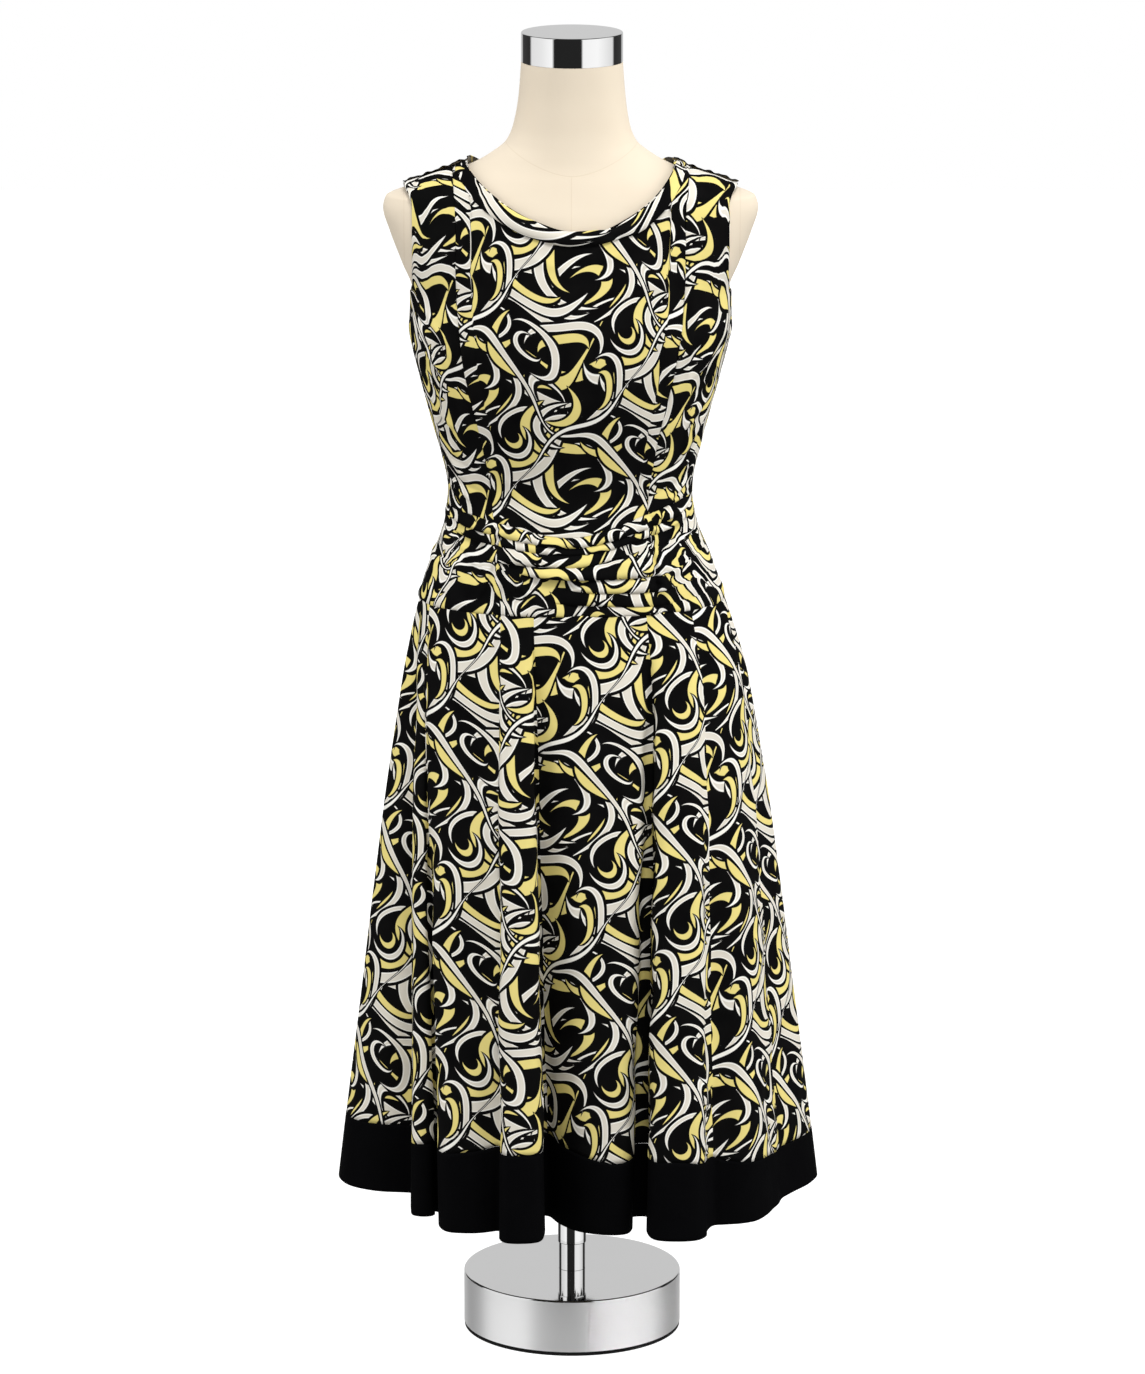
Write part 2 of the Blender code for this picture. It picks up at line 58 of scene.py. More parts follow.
# The camera looks down by its pitch, in degrees; its lens and sensor are in millimetres.
CAMERA_PLACE = (0.0006, -9.13, 3.095)
CAMERA_PITCH = 13.66
CAMERA_LENS = 187.34
CAMERA_SENSOR = 36.0
FLOOR_HALF = 9.0
FLOOR_TONE = 0.40
FLOOR_GLOW = 0.90
# Soft light on the cloth: its strength, and how much more comes from behind and from above.
AMBIENT = 0.47
AMBIENT_LEVEL = 1.05
AMBIENT_BEHIND = 0.45
AMBIENT_ABOVE = 0.50


def table(columns, *rows):
    """Rows of values, each with these named columns."""
    Row = namedtuple("Row", columns)
    return [Row(*row) for row in rows]


def placed(name, data):
    """An object of the scene that carries this data."""
    made = bpy.data.objects.new(name, data)
    bpy.context.scene.collection.objects.link(made)
    return made


def grey(value):
    return (value, value, value, 1)


def feed(tree, node, inputs):
    """Sets a node's inputs, by name or number: a plain value is set, and an output is linked."""
    for socket, value in inputs.items():
        if isinstance(value, (int, float, tuple)):
            node.inputs[socket].default_value = value
        else:
            tree.links.new(value, node.inputs[socket])


def new_node(tree, kind, inputs=None, **settings):
    made = tree.nodes.new(kind)
    for name, value in settings.items():
        setattr(made, name, value)
    feed(tree, made, inputs or {})
    return made


def maths(tree, operation, *values, clamp=False):
    inputs = dict(enumerate(values))
    made = new_node(tree, "ShaderNodeMath", inputs, operation=operation, use_clamp=clamp)
    return made.outputs[0]


def parts(tree, vector):
    """The x, y and z of a vector."""
    return new_node(tree, "ShaderNodeSeparateXYZ", {0: vector}).outputs


def blend(tree, share, first, second):
    """The first colour where the share is 0, and the second where it is 1."""
    made = new_node(tree, "ShaderNodeMix", {0: share, 6: first, 7: second}, data_type="RGBA")
    return made.outputs[2]


def new_material(name):
    made = bpy.data.materials.new(name)
    made.use_nodes = True
    return made, made.node_tree, made.node_tree.nodes["Principled BSDF"]


def make_camera():
    data = bpy.data.cameras.new("camera")
    data.sensor_fit = "VERTICAL"
    data.sensor_height = CAMERA_SENSOR
    data.lens = CAMERA_LENS
    camera = placed("camera", data)
    camera.location = CAMERA_PLACE
    camera.rotation_euler = (math.radians(90 - CAMERA_PITCH), 0, 0)
    bpy.context.scene.camera = camera


def make_floor():
    mesh = bpy.data.meshes.new("floor")
    half = FLOOR_HALF
    corners = [(-half, -half, 0), (half, -half, 0), (half, half, 0), (-half, half, 0)]
    mesh.from_pydata(corners, [], [(0, 1, 2, 3)])
    paint, tree, shader = new_material("floor_paint")
    feed(tree, shader, {"Base Color": grey(FLOOR_TONE), "Roughness": 0.9})
    feed(tree, shader, {"Emission Color": grey(1), "Emission Strength": FLOOR_GLOW})
    mesh.materials.append(paint)
    floor = placed("floor", mesh)
    floor.visible_glossy = False
    floor.visible_diffuse = False


# Soft lights, by their power in watts, their size, where they stand and where they face, and how
# wide they spread, in degrees.
LIGHTS = table(
    "name power size place aim spread",
    ("soft_box_right", 73, (1.4, 2.8), (3.4, -1.2, 1.8), (0, 0, 1.0), 180),
    ("soft_box_left", 60, (1.4, 2.8), (-3.3, -1.6, 1.8), (0, 0, 1.0), 180),
    ("key_above", 98, (1.3, 1.0), (0.6, -2.5, 4.6), (0, 0, 1.0), 180),
    ("soft_box_behind", 36, (2.4, 2.0), (0, 3.6, 2.8), (0, 0, 1.0), 180),
    ("base_light", 0.12, (0.5, 0.10), (0.1, -2.3, 0.08), (0, 0, 0.02), 8),
)


def make_lights():
    for row in LIGHTS:
        data = bpy.data.lights.new(row.name, "AREA")
        data.shape = "RECTANGLE"
        data.energy = row.power
        data.size, data.size_y = row.size
        data.spread = math.radians(row.spread)
        light = placed(row.name, data)
        light.location = row.place
        way = Vector(row.aim) - Vector(row.place)
        light.rotation_euler = way.to_track_quat("-Z", "Y").to_euler()
        light.visible_glossy = False


# Brightness of the surround by bearing from the camera side, in degrees, positive towards +X.
SURROUND = table(
    "bearing value",
    (-180, 0.66),
    (-154, 0.62),
    (-146, 0.05),
    (-110, 0.03),
    (-104, 0.90),
    (-72, 0.98),
    (-46, 1.15),
    (-41, 0.02),
    (21, 0.02),
    (25, 1.10),
    (60, 1.15),
    (104, 0.85),
    (110, 0.03),
    (146, 0.05),
    (154, 0.62),
    (180, 0.66),
)
# The chrome's surround turns dark overhead, between these two rises of the way that it sees.
CEILING_FROM = 0.60
CEILING_TO = 0.72
CEILING_TONE = 0.03


def make_surround():
    """Bands for what the chrome sees, soft light for the cloth, and white behind it all."""
    world = bpy.data.worlds.new("surround")
    bpy.context.scene.world = world
    world.use_nodes = True
    tree = world.node_tree
    tree.nodes.clear()
    x, y, z = parts(tree, new_node(tree, "ShaderNodeTexCoord").outputs["Generated"])
    bearing = maths(tree, "ARCTAN2", x, maths(tree, "MULTIPLY", y, -1.0))
    turn = maths(tree, "MULTIPLY_ADD", bearing, 1 / math.tau, 0.5)
    bands = new_node(tree, "ShaderNodeValToRGB", {"Fac": turn})
    ramp = bands.color_ramp
    while len(ramp.elements) < len(SURROUND):
        ramp.elements.new(0.5)
    for element, tone in zip(ramp.elements, SURROUND):
        element.position = tone.bearing / 360 + 0.5
        element.color = grey(tone.value)
    rise = {"Value": z, "From Min": CEILING_FROM, "From Max": CEILING_TO}
    above = new_node(tree, "ShaderNodeMapRange", rise, interpolation_type="SMOOTHSTEP")
    banded = blend(tree, above.outputs[0], bands.outputs["Color"], grey(CEILING_TONE))
    soft = maths(tree, "MULTIPLY_ADD", y, AMBIENT_BEHIND * AMBIENT, AMBIENT_LEVEL * AMBIENT)
    soft = maths(tree, "MULTIPLY_ADD", z, AMBIENT_ABOVE * AMBIENT, soft)
    ray = new_node(tree, "ShaderNodeLightPath").outputs
    lit = blend(tree, ray["Is Glossy Ray"], soft, banded)
    seen = blend(tree, ray["Is Camera Ray"], lit, grey(1))
    sky = new_node(tree, "ShaderNodeBackground", {"Color": seen})
    new_node(tree, "ShaderNodeOutputWorld", {"Surface": sky.outputs[0]})


make_camera()
make_floor()
make_surround()
make_lights()
bpy.context.scene.view_settings.view_transform = "Standard"

# ------------------
# Stand: a weighted base under a pressed steel cover, a steel rod in a sliding tube, and a cap on
# the form's neck, all plated with bright chrome. The rod is screwed into the base, and the tube
# carries the form.

ROUND_STEPS = 192
CORNER_STEPS = 4
CORNER_LEAD = 0.0003
SHARP_ANGLE = 35
WELD = 0.00001
RIM = 0.0020
CAP_RIM = 0.0016
FOOT_TOP = 0.0046
FOOT_INSET = 0.0006
ROD_WALL = 0.0015
TUBE_WALL = 0.0010
TUBE_BEVEL_IN = 0.0003
TUBE_BEVEL_UP = 0.0005
CAP_WALL = 0.0015
CHROME_LIGHT = 0.83
CHROME_DULL = 0.80


def object_place(tree):
    return new_node(tree, "ShaderNodeTexCoord").outputs["Object"]


def noise(tree, place, scale, detail=2.0):
    """Cloudy variation, with about so many clouds to a metre."""
    inputs = {"Vector": place, "Scale": scale, "Detail": detail}
    return new_node(tree, "ShaderNodeTexNoise", inputs).outputs["Fac"]


def chrome(name, roughness, metal=1.0):
    """Bright plating with faint clouding."""
    material, tree, shader = new_material(name)
    cloudy = noise(tree, object_place(tree), 9.0)
    span = {"Value": cloudy, "To Min": roughness * 0.85, "To Max": roughness * 1.15}
    rough = new_node(tree, "ShaderNodeMapRange", span).outputs[0]
    tint = blend(tree, cloudy, grey(CHROME_LIGHT), grey(CHROME_DULL))
    feed(tree, shader, {"Base Color": tint, "Metallic": metal, "Roughness": rough})
    return material


# Near black with a fine grain, painted on the base's set-in foot where it meets the floor.
def near_black_foot():
    material, tree, shader = new_material("near_black_foot")
    grain = noise(tree, object_place(tree), 400.0)
    tone = blend(tree, grain, grey(0.004), grey(0.012))
    feed(tree, shader, {"Base Color": tone, "Roughness": 0.8, "Specular IOR Level": 0.1})
    return material


def fit(piece, body, slot, *nodes):
    """The body that a piece rides on and the solids it stands in for; the slot is not used."""
    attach(piece, body)
    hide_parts(*nodes)


def turned(name, profile, material, body, node):
    """A chromed piece turned round the z axis from (radius, height) pairs, outer side downwards."""
    mesh = bpy.data.meshes.new(name)
    edges = [(i, i + 1) for i in range(len(profile) - 1)]
    mesh.from_pydata([(radius, 0.0, height) for radius, height in profile], edges, [])
    mesh.materials.append(material)
    piece = placed(name, mesh)
    turn = piece.modifiers.new("Turn", "SCREW")
    turn.steps = ROUND_STEPS
    turn.render_steps = ROUND_STEPS
    turn.use_merge_vertices = True
    turn.merge_threshold = WELD
    bpy.context.view_layer.update()
    graph = bpy.context.evaluated_depsgraph_get()
    solid = bpy.data.meshes.new_from_object(piece.evaluated_get(graph))
    piece.modifiers.clear()
    piece.data = solid
    solid.shade_smooth()
    solid.set_sharp_from_angle(angle=math.radians(SHARP_ANGLE))
    fit(piece, body, "chrome", node)
    return piece


def rounded_corner(radius, height, size):
    """Arc from the flat top round to the outer side, with a point just before and just after it."""
    arc = [(radius - size - CORNER_LEAD, height)]
    for i in range(CORNER_STEPS + 1):
        turn = math.radians(90 - 90 * i / CORNER_STEPS)
        arc.append((radius - size + size * math.cos(turn), height + size * (math.sin(turn) - 1)))
    arc.append((radius, height - size - CORNER_LEAD))
    return arc


def make_stand():
    plated = chrome("chrome_plating", 0.045)
    satin = chrome("satin_chrome", 0.36, 0.55)

    # The base's round side is satin, its top is bright, and its set-in foot is painted near black.
    edge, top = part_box("base")[1].x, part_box("base")[1].z
    foot = edge - FOOT_INSET
    profile = [(0, top)] + rounded_corner(edge, top, RIM)
    profile += [(edge, FOOT_TOP + FOOT_INSET), (foot, FOOT_TOP), (foot, 0.0), (0, 0.0)]
    piece = turned("stand_base", profile, satin, "stand", "base")
    piece.data.materials.append(plated)
    piece.data.materials.append(near_black_foot())
    for face in piece.data.polygons:
        if face.center.z < FOOT_TOP + FOOT_INSET:
            face.material_index = 2
        elif face.center.z > top - RIM:
            face.material_index = 1

    low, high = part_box("pole_inner")
    edge, bore = high.x, high.x - ROD_WALL
    profile = [(bore, high.z), (edge, high.z), (edge, low.z), (bore, low.z), (bore, high.z)]
    turned("stand_rod", profile, plated, "stand", "pole_inner")

    low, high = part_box("pole_outer")
    edge, bore = high.x, high.x - TUBE_WALL
    lip = low.z + TUBE_BEVEL_UP
    profile = [(bore, high.z), (edge, high.z), (edge, lip + CORNER_LEAD), (edge, lip)]
    profile += [(edge - TUBE_BEVEL_IN, low.z), (bore, low.z), (bore, high.z)]
    turned("stand_tube", profile, plated, "figure", "pole_outer")

    low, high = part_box("neck_cap")
    edge, bore, lid = high.x, high.x - CAP_WALL, high.z - CAP_WALL
    profile = [(0, high.z)] + rounded_corner(edge, high.z, CAP_RIM)
    profile += [(edge, low.z), (bore, low.z), (bore, lid), (0, lid)]
    turned("neck_cap_chrome", profile, plated, "figure", "neck_cap")


make_stand()

# ------------------
# Dress form: a smooth limbless figure of light foam in a fitted cover of matt ivory stretch
# jersey. The cover's hair-fine seams run down the centre, round the neck and the arm stubs.

# Rounds of the figure: half its width, its depths in front and behind, and how square it is, as
# the power of a superellipse. The figure leans a little to one side by its height.
FIGURE = table(
    "height side front back power",
    (0.800, 0.170, 0.100, 0.112, 2.1),
    (0.880, 0.184, 0.105, 0.124, 2.1),
    (0.950, 0.192, 0.108, 0.130, 2.1),
    (1.000, 0.188, 0.107, 0.124, 2.1),
    (1.050, 0.176, 0.101, 0.110, 2.1),
    (1.100, 0.160, 0.091, 0.095, 2.05),
    (1.144, 0.156, 0.086, 0.086, 2.0),
    (1.190, 0.164, 0.094, 0.085, 2.0),
    (1.250, 0.180, 0.108, 0.090, 2.1),
    (1.310, 0.1955, 0.1175, 0.0965, 2.15),
    (1.335, 0.2015, 0.1190, 0.0985, 2.2),
    (1.360, 0.2055, 0.1195, 0.1005, 2.2),
    (1.405, 0.2045, 0.115, 0.103, 2.2),
    (1.445, 0.219, 0.109, 0.104, 2.15),
    (1.485, 0.234, 0.102, 0.101, 2.1),
    (1.515, 0.2425, 0.094, 0.098, 2.0),
    (1.530, 0.239, 0.088, 0.094, 2.0),
    (1.540, 0.216, 0.084, 0.091, 2.0),
    (1.5555, 0.170, 0.078, 0.086, 2.0),
    (1.571, 0.129, 0.072, 0.079, 2.0),
    (1.5825, 0.108, 0.069, 0.075, 2.0),
    (1.602, 0.084, 0.066, 0.070, 2.0),
    (1.622, 0.0755, 0.064, 0.067, 2.0),
    (1.660, 0.069, 0.063, 0.065, 2.0),
    (1.705, 0.0655, 0.0655, 0.0655, 2.0),
)
LEAN = table(
    "height shift",
    (0.207, 0.0010),
    (0.450, 0.0026),
    (0.770, 0.0040),
    (0.890, 0.0038),
    (1.000, 0.0000),
    (1.144, -0.0025),
    (1.280, -0.0035),
    (1.400, -0.0020),
    (1.540, -0.0018),
    (1.660, 0.0000),
)
FIGURE_COLUMNS = 176
FIGURE_ROWS = table(
    "lowest highest count",
    (0.800, 1.500, 110),
    (1.503, 1.5255, 14),
    (1.5265, 1.5415, 22),
    (1.5435, 1.605, 30),
    (1.609, 1.705, 24),
)
TUBE_SLIP = 0.0003
SOCKET_DEPTH = 0.039
SPIGOT_INSET = 0.0021
IVORY = (0.75, 0.655, 0.520, 1)
IVORY_SHADE = (0.69, 0.585, 0.450, 1)
SEAM_TONE = (0.62, 0.50, 0.36, 1)
# The neck seam lies lower in front than behind, and rises from the centre to both sides.
NECK_SEAM = 1.579
NECK_SEAM_DROP = 0.0125
NECK_SEAM_RISE = 0.0355
NECK_SEAM_REACH = 0.087
NECK_SEAM_END = 0.090
NECK_SEAM_CURVE = 1.7
NECK_SEAM_HALF = 0.0008
CENTRE_SEAM = -0.0008
ARM_SEAM = 0.2165
ARM_SEAM_FOOT = 1.43
SEAM_HALF = 0.0007
SEAM_SHOWS = 0.42
MOTTLE_FROM = 0.45
MOTTLE_SHOWS = 0.9
COVER_GRAIN = 0.35
FORM_SHARP_ANGLE = 50


def curve_weights(t):
    """Shares of a smooth curve's start, the way it sets off, its end, and the way it comes in."""
    return (1 + 2 * t) * (1 - t) ** 2, t * (1 - t) ** 2, t * t * (3 - 2 * t), -t * t * (1 - t)


def smooth(rows, place, value, at):
    """Value at places between a table's rows, on a smooth curve that never overshoots."""
    places = np.array([getattr(row, place) for row in rows], float)
    values = np.array([getattr(row, value) for row in rows], float)
    at = np.clip(at, places[0], places[-1])
    steps = np.diff(places)
    slopes = np.diff(values) / steps
    before, after = slopes[:-1], slopes[1:]
    turning = before * after <= 0
    inner = np.where(turning, 0.0, 2 * before * after / np.where(turning, 1.0, before + after))
    tangents = np.concatenate([slopes[:1], inner, slopes[-1:]])
    i = np.clip(np.searchsorted(places, at, side="right") - 1, 0, len(steps) - 1)
    start, leave, end, arrive = curve_weights((at - places[i]) / steps[i])
    here = start * values[i] + leave * steps[i] * tangents[i]
    return here + end * values[i + 1] + arrive * steps[i] * tangents[i + 1]


def mix(a, b, share):
    return a + (b - a) * share


def share_of(amount, whole):
    """How much of the whole an amount is, from 0 to 1."""
    return np.clip(amount / whole, 0, 1)


def form_section(height):
    """side, front, back and power of the form at heights."""
    return [smooth(FIGURE, "height", name, height) for name in ("side", "front", "back", "power")]


def lean(height):
    return smooth(LEAN, "height", "shift", height)


def ring_point(angle, height, section):
    """Points at angles round a section, in degrees from the front centre towards +X."""
    side, front, back, power = section
    across, along = np.sin(np.radians(angle)), -np.cos(np.radians(angle))
    depth = np.where(along < 0, front, back)
    x = lean(height) + side * np.sign(across) * np.abs(across) ** (2 / power)
    y = depth * np.sign(along) * np.abs(along) ** (2 / power)
    return np.stack(np.broadcast_arrays(x, y, height), axis=-1)


def corners_of(near, far):
    """Values at the four corners of each face, from those at the near and far side of a column."""
    return np.stack([near[:-1], far[:-1], far[1:], near[1:]], axis=2)


def grid_mesh(name, points, flat=None, closed=False):
    """Mesh through a grid of points; flat gives each point, or each face corner, its place on the
    cut cloth."""
    rows, columns = points.shape[:2]
    mesh = bpy.data.meshes.new(name)
    corner = np.arange(rows * columns).reshape(rows, columns)
    last = columns if closed else columns - 1
    after = np.roll(corner, -1, axis=1)
    faces = np.stack(
        [corner[:-1, :last], after[:-1, :last], after[1:, :last], corner[1:, :last]], axis=-1
    ).reshape(-1, 4)
    mesh.from_pydata(points.reshape(-1, 3).tolist(), [], faces.tolist())
    if flat is not None:
        places = corners_of(flat[:, :-1], flat[:, 1:]) if flat.ndim == 3 else flat
        mesh.uv_layers.new(name="cut").uv.foreach_set("vector", places.astype(np.float32).ravel())
    mesh.shade_smooth()
    return mesh


def thin_line(tree, distance, half):
    """1 on a line, 0 off it."""
    near = maths(tree, "DIVIDE", maths(tree, "ABSOLUTE", distance), half)
    return maths(tree, "SUBTRACT", 1.0, near, clamp=True)


def cover_seams(tree, place):
    """1 along the seams of the cover, 0 off them."""
    x, y, z = parts(tree, place)
    away = maths(tree, "ABSOLUTE", x)
    rise = maths(tree, "POWER", maths(tree, "DIVIDE", away, NECK_SEAM_REACH), NECK_SEAM_CURVE)
    rise = maths(tree, "MULTIPLY", rise, NECK_SEAM_RISE)
    lowest = maths(tree, "MULTIPLY", maths(tree, "LESS_THAN", y, 0.0), -NECK_SEAM_DROP)
    lowest = maths(tree, "ADD", lowest, NECK_SEAM)
    neck = maths(tree, "SUBTRACT", z, maths(tree, "ADD", rise, lowest))
    neck = thin_line(tree, neck, NECK_SEAM_HALF)
    neck = maths(tree, "MULTIPLY", neck, maths(tree, "LESS_THAN", away, NECK_SEAM_END))
    centre = thin_line(tree, maths(tree, "SUBTRACT", x, CENTRE_SEAM), SEAM_HALF)
    centre = maths(tree, "MULTIPLY", centre, maths(tree, "LESS_THAN", z, lowest))
    arm = thin_line(tree, maths(tree, "SUBTRACT", away, ARM_SEAM), SEAM_HALF)
    arm = maths(tree, "MULTIPLY", arm, maths(tree, "GREATER_THAN", z, ARM_SEAM_FOOT))
    return maths(tree, "MAXIMUM", maths(tree, "MAXIMUM", neck, centre), arm)


def dent(tree, shader, height, strength, distance):
    """Fine relief on a shader; the distance is in metres."""
    relief = {"Height": height, "Strength": strength, "Distance": distance}
    feed(tree, shader, {"Normal": new_node(tree, "ShaderNodeBump", relief).outputs[0]})


def ivory_cover():
    """Matt stretch cloth, faintly mottled, with a fine grain and sunk seams."""
    material, tree, shader = new_material("ivory_cover")
    place = object_place(tree)
    seams = cover_seams(tree, place)
    mottle = maths(tree, "SUBTRACT", noise(tree, place, 14.0, 4.0), MOTTLE_FROM, clamp=True)
    tone = blend(tree, maths(tree, "MULTIPLY", mottle, MOTTLE_SHOWS), IVORY, IVORY_SHADE)
    tone = blend(tree, maths(tree, "MULTIPLY", seams, SEAM_SHOWS), tone, SEAM_TONE)
    feed(tree, shader, {"Base Color": tone, "Roughness": 0.75})
    feed(tree, shader, {"Sheen Weight": 0.08, "Specular IOR Level": 0.25})
    threads = maths(tree, "MULTIPLY", noise(tree, place, 900.0), COVER_GRAIN)
    dent(tree, shader, maths(tree, "SUBTRACT", threads, seams), 0.35, 0.0004)
    return material


def make_form():
    """Closed figure: underside, body, shoulders, and a spigot up inside the neck cap."""
    low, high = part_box("form_torso")
    heights = np.concatenate([np.linspace(*rows) for rows in FIGURE_ROWS])[:, None]
    angles = 360 * np.arange(FIGURE_COLUMNS) / FIGURE_COLUMNS
    body = ring_point(angles[None, :], heights, form_section(heights))
    turn = np.radians(angles)

    def ring(radius, height):
        level = np.full(FIGURE_COLUMNS, height)
        return np.stack([radius * np.sin(turn), -radius * np.cos(turn), level], -1)

    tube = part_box("pole_outer")[1].x + TUBE_SLIP
    socket = low.z + SOCKET_DEPTH
    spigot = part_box("neck_cap")[1].x - SPIGOT_INSET
    below = [ring(0.0, socket), ring(tube, socket), ring(tube, low.z)]
    above = [ring(spigot, FIGURE[-1].height), ring(spigot, high.z), ring(0.0, high.z)]
    points = np.concatenate([np.stack(below), body, np.stack(above)])
    mesh = grid_mesh("form_cover", points, closed=True)
    welded = bmesh.new()
    welded.from_mesh(mesh)
    bmesh.ops.remove_doubles(welded, verts=welded.verts, dist=WELD)
    bmesh.ops.recalc_face_normals(welded, faces=welded.faces)
    welded.to_mesh(mesh)
    welded.free()
    mesh.set_sharp_from_angle(angle=math.radians(FORM_SHARP_ANGLE))
    mesh.materials.append(ivory_cover())
    fit(placed("form_cover", mesh), "figure", "form_cover", "form_torso")


make_form()

# ------------------
# Jersey: a fine knit with a dull face, printed on the right side only, so the wrong side is a
# greyer ghost of the print. The hem band is cut from the same jersey, dyed plain black.

BLACK = (0.0020, 0.0020, 0.0023, 1)
BLACK_WORN = (0.0030, 0.0030, 0.0034, 1)
CREAM = (0.73, 0.69, 0.60, 1)
WHITE = (0.90, 0.88, 0.82, 1)
YELLOW = (0.80, 0.68, 0.235, 1)
WRONG_SIDE = (0.16, 0.155, 0.14, 1)

# Sizes of the print are in millimetres. The knit takes up the ink a little narrower than the
# screen lays it, by DRAWN_IN at each edge.
REPEAT_WIDE = 150.0
REPEAT_TALL = 286.0
SCREEN_SOFT = 0.35
DRAWN_IN = 0.30

# An ink is laid as a black gap, then an edge line, then its body.
Ink = namedtuple("Ink", "body edge gap line")
CREAM_INK = Ink(CREAM, WHITE, 3.9, 1.4)
YELLOW_INK = Ink(YELLOW, YELLOW, 3.3, None)
WHITE_INK = Ink(WHITE, WHITE, 3.1, None)

# Long ribbons that cross a repeat so many times each way. They wander and swell in slow waves,
# each given as (waves across, waves up, phase); offset and wander are shares of a repeat.
RIBBON = "across up offset wander wander_wave half swell swell_wave ink"
UNDER_RIBBONS = table(
    RIBBON,
    (1, 0, 0.12, 0.17, (0, 1, 0.3), 3.0, 4.2, (1, 1, 0.2), CREAM_INK),
    (1, 2, 0.10, 0.10, (1, 0, 1.2), 3.6, 4.2, (0, 1, 1.0), CREAM_INK),
    (1, 2, 0.50, 0.13, (1, 1, 2.6), 4.3, 3.4, (1, 0, 0.4), YELLOW_INK),
    (0, 1, 0.30, 0.07, (1, 0, 0.5), 4.5, 3.4, (1, 2, 0.4), YELLOW_INK),
    (1, 2, 0.78, 0.12, (0, 1, 4.2), 3.0, 4.4, (1, 0, 2.4), CREAM_INK),
)
OVER_RIBBONS = table(
    RIBBON,
    (1, 1, 0.55, 0.09, (1, 0, 2.2), 3.2, 2.2, (0, 1, 2.0), CREAM_INK),
    (0, 1, 0.72, 0.08, (1, 0, 4.4), 1.7, 1.0, (1, 2, 2.9), WHITE_INK),
)

# Nests of crescent strokes round a point of the repeat. A stroke is drawn at a radius about the
# bearing of its middle, tapering to nothing at its span on both sides; the nest is squashed.
Nest = namedtuple("Nest", "across up squash turn strokes")
Stroke = namedtuple("Stroke", "radius middle span wide ink")
NESTS = (
    Nest(39, 20, 0.85, -25, (
        Stroke(50, 15, 74, 8, CREAM_INK),
        Stroke(36, 205, 104, 11, CREAM_INK),
        Stroke(21, 40, 125, 11.5, YELLOW_INK),
    )),
    Nest(40, 62, 0.66, 28, (
        Stroke(55, 150, 96, 14, CREAM_INK),
        Stroke(40, 135, 80, 12.5, YELLOW_INK),
        Stroke(24, -20, 94, 8, CREAM_INK),
    )),
    Nest(98, -34, 0.72, -34, (
        Stroke(58, -30, 90, 13, CREAM_INK),
        Stroke(42, -25, 70, 11.5, YELLOW_INK),
        Stroke(24, 160, 94, 7, CREAM_INK),
    )),
    Nest(8, -74, 1.10, 17, (
        Stroke(48, 60, 95, 12, CREAM_INK),
        Stroke(32, 75, 80, 12.5, YELLOW_INK),
    )),
    Nest(70, 106, 1.30, -40, (
        Stroke(25, 10, 150, 6, CREAM_INK),
        Stroke(39, -60, 60, 11.5, YELLOW_INK),
    )),
    Nest(132, 22, 0.75, 52, (
        Stroke(20, 70, 150, 6, CREAM_INK),
        Stroke(36, -80, 70, 11.5, YELLOW_INK),
    )),
    Nest(130, -100, 0.70, 70, (
        Stroke(50, 190, 72, 13, CREAM_INK),
        Stroke(35, 180, 64, 11.5, YELLOW_INK),
    )),
    Nest(58, -122, 0.90, -10, (
        Stroke(38, 20, 96, 9, CREAM_INK),
        Stroke(22, 10, 90, 9.5, YELLOW_INK),
    )),
    Nest(116, 76, 0.90, 60, (
        Stroke(44, 120, 66, 12.5, YELLOW_INK),
        Stroke(30, -50, 116, 10, CREAM_INK),
        Stroke(14, 140, 140, 6, CREAM_INK),
    )),
    Nest(16, 126, 0.80, 105, (
        Stroke(36, 80, 90, 9, CREAM_INK),
        Stroke(49, 90, 60, 11.5, YELLOW_INK),
    )),
    Nest(90, -52, 0.90, -110, (
        Stroke(24, 60, 110, 7, CREAM_INK),
        Stroke(11, 50, 120, 7.5, YELLOW_INK),
    )),
)


def vector_maths(tree, operation, *values):
    made = new_node(tree, "ShaderNodeVectorMath", dict(enumerate(values)), operation=operation)
    return made.outputs["Value" if operation in ("DOT_PRODUCT", "LENGTH") else "Vector"]


def repeats(across, up):
    """Direction that gains one for every repeat crossed, as the half-dropped columns allow."""
    return ((across - up / 2) / REPEAT_WIDE, up / REPEAT_TALL, 0.0)


def slow_wave(tree, place, across, up, phase):
    direction = tuple(math.tau * step for step in repeats(across, up))
    turn = vector_maths(tree, "DOT_PRODUCT", place, direction)
    return maths(tree, "SINE", maths(tree, "ADD", turn, phase))


# Slow waves that push the print about on the cloth, along an axis and by so many millimetres.
PUSHES = table(
    "axis reach wave",
    (0, 7.0, (0, 1, 0.6)),
    (0, 4.0, (1, 1, 2.0)),
    (0, 2.5, (2, 3, 1.0)),
    (1, 8.0, (1, 0, 1.1)),
    (1, 4.0, (1, 2, 0.4)),
    (1, 2.5, (2, 1, 2.6)),
)


def swayed(tree, place):
    """Places on the cloth pushed about a little, so that no line of the print is stiff."""
    made = place
    for push in PUSHES:
        amount = maths(tree, "MULTIPLY", slow_wave(tree, place, *push.wave), push.reach)
        shift = new_node(tree, "ShaderNodeCombineXYZ", {push.axis: amount})
        made = vector_maths(tree, "ADD", made, shift.outputs[0])
    return made


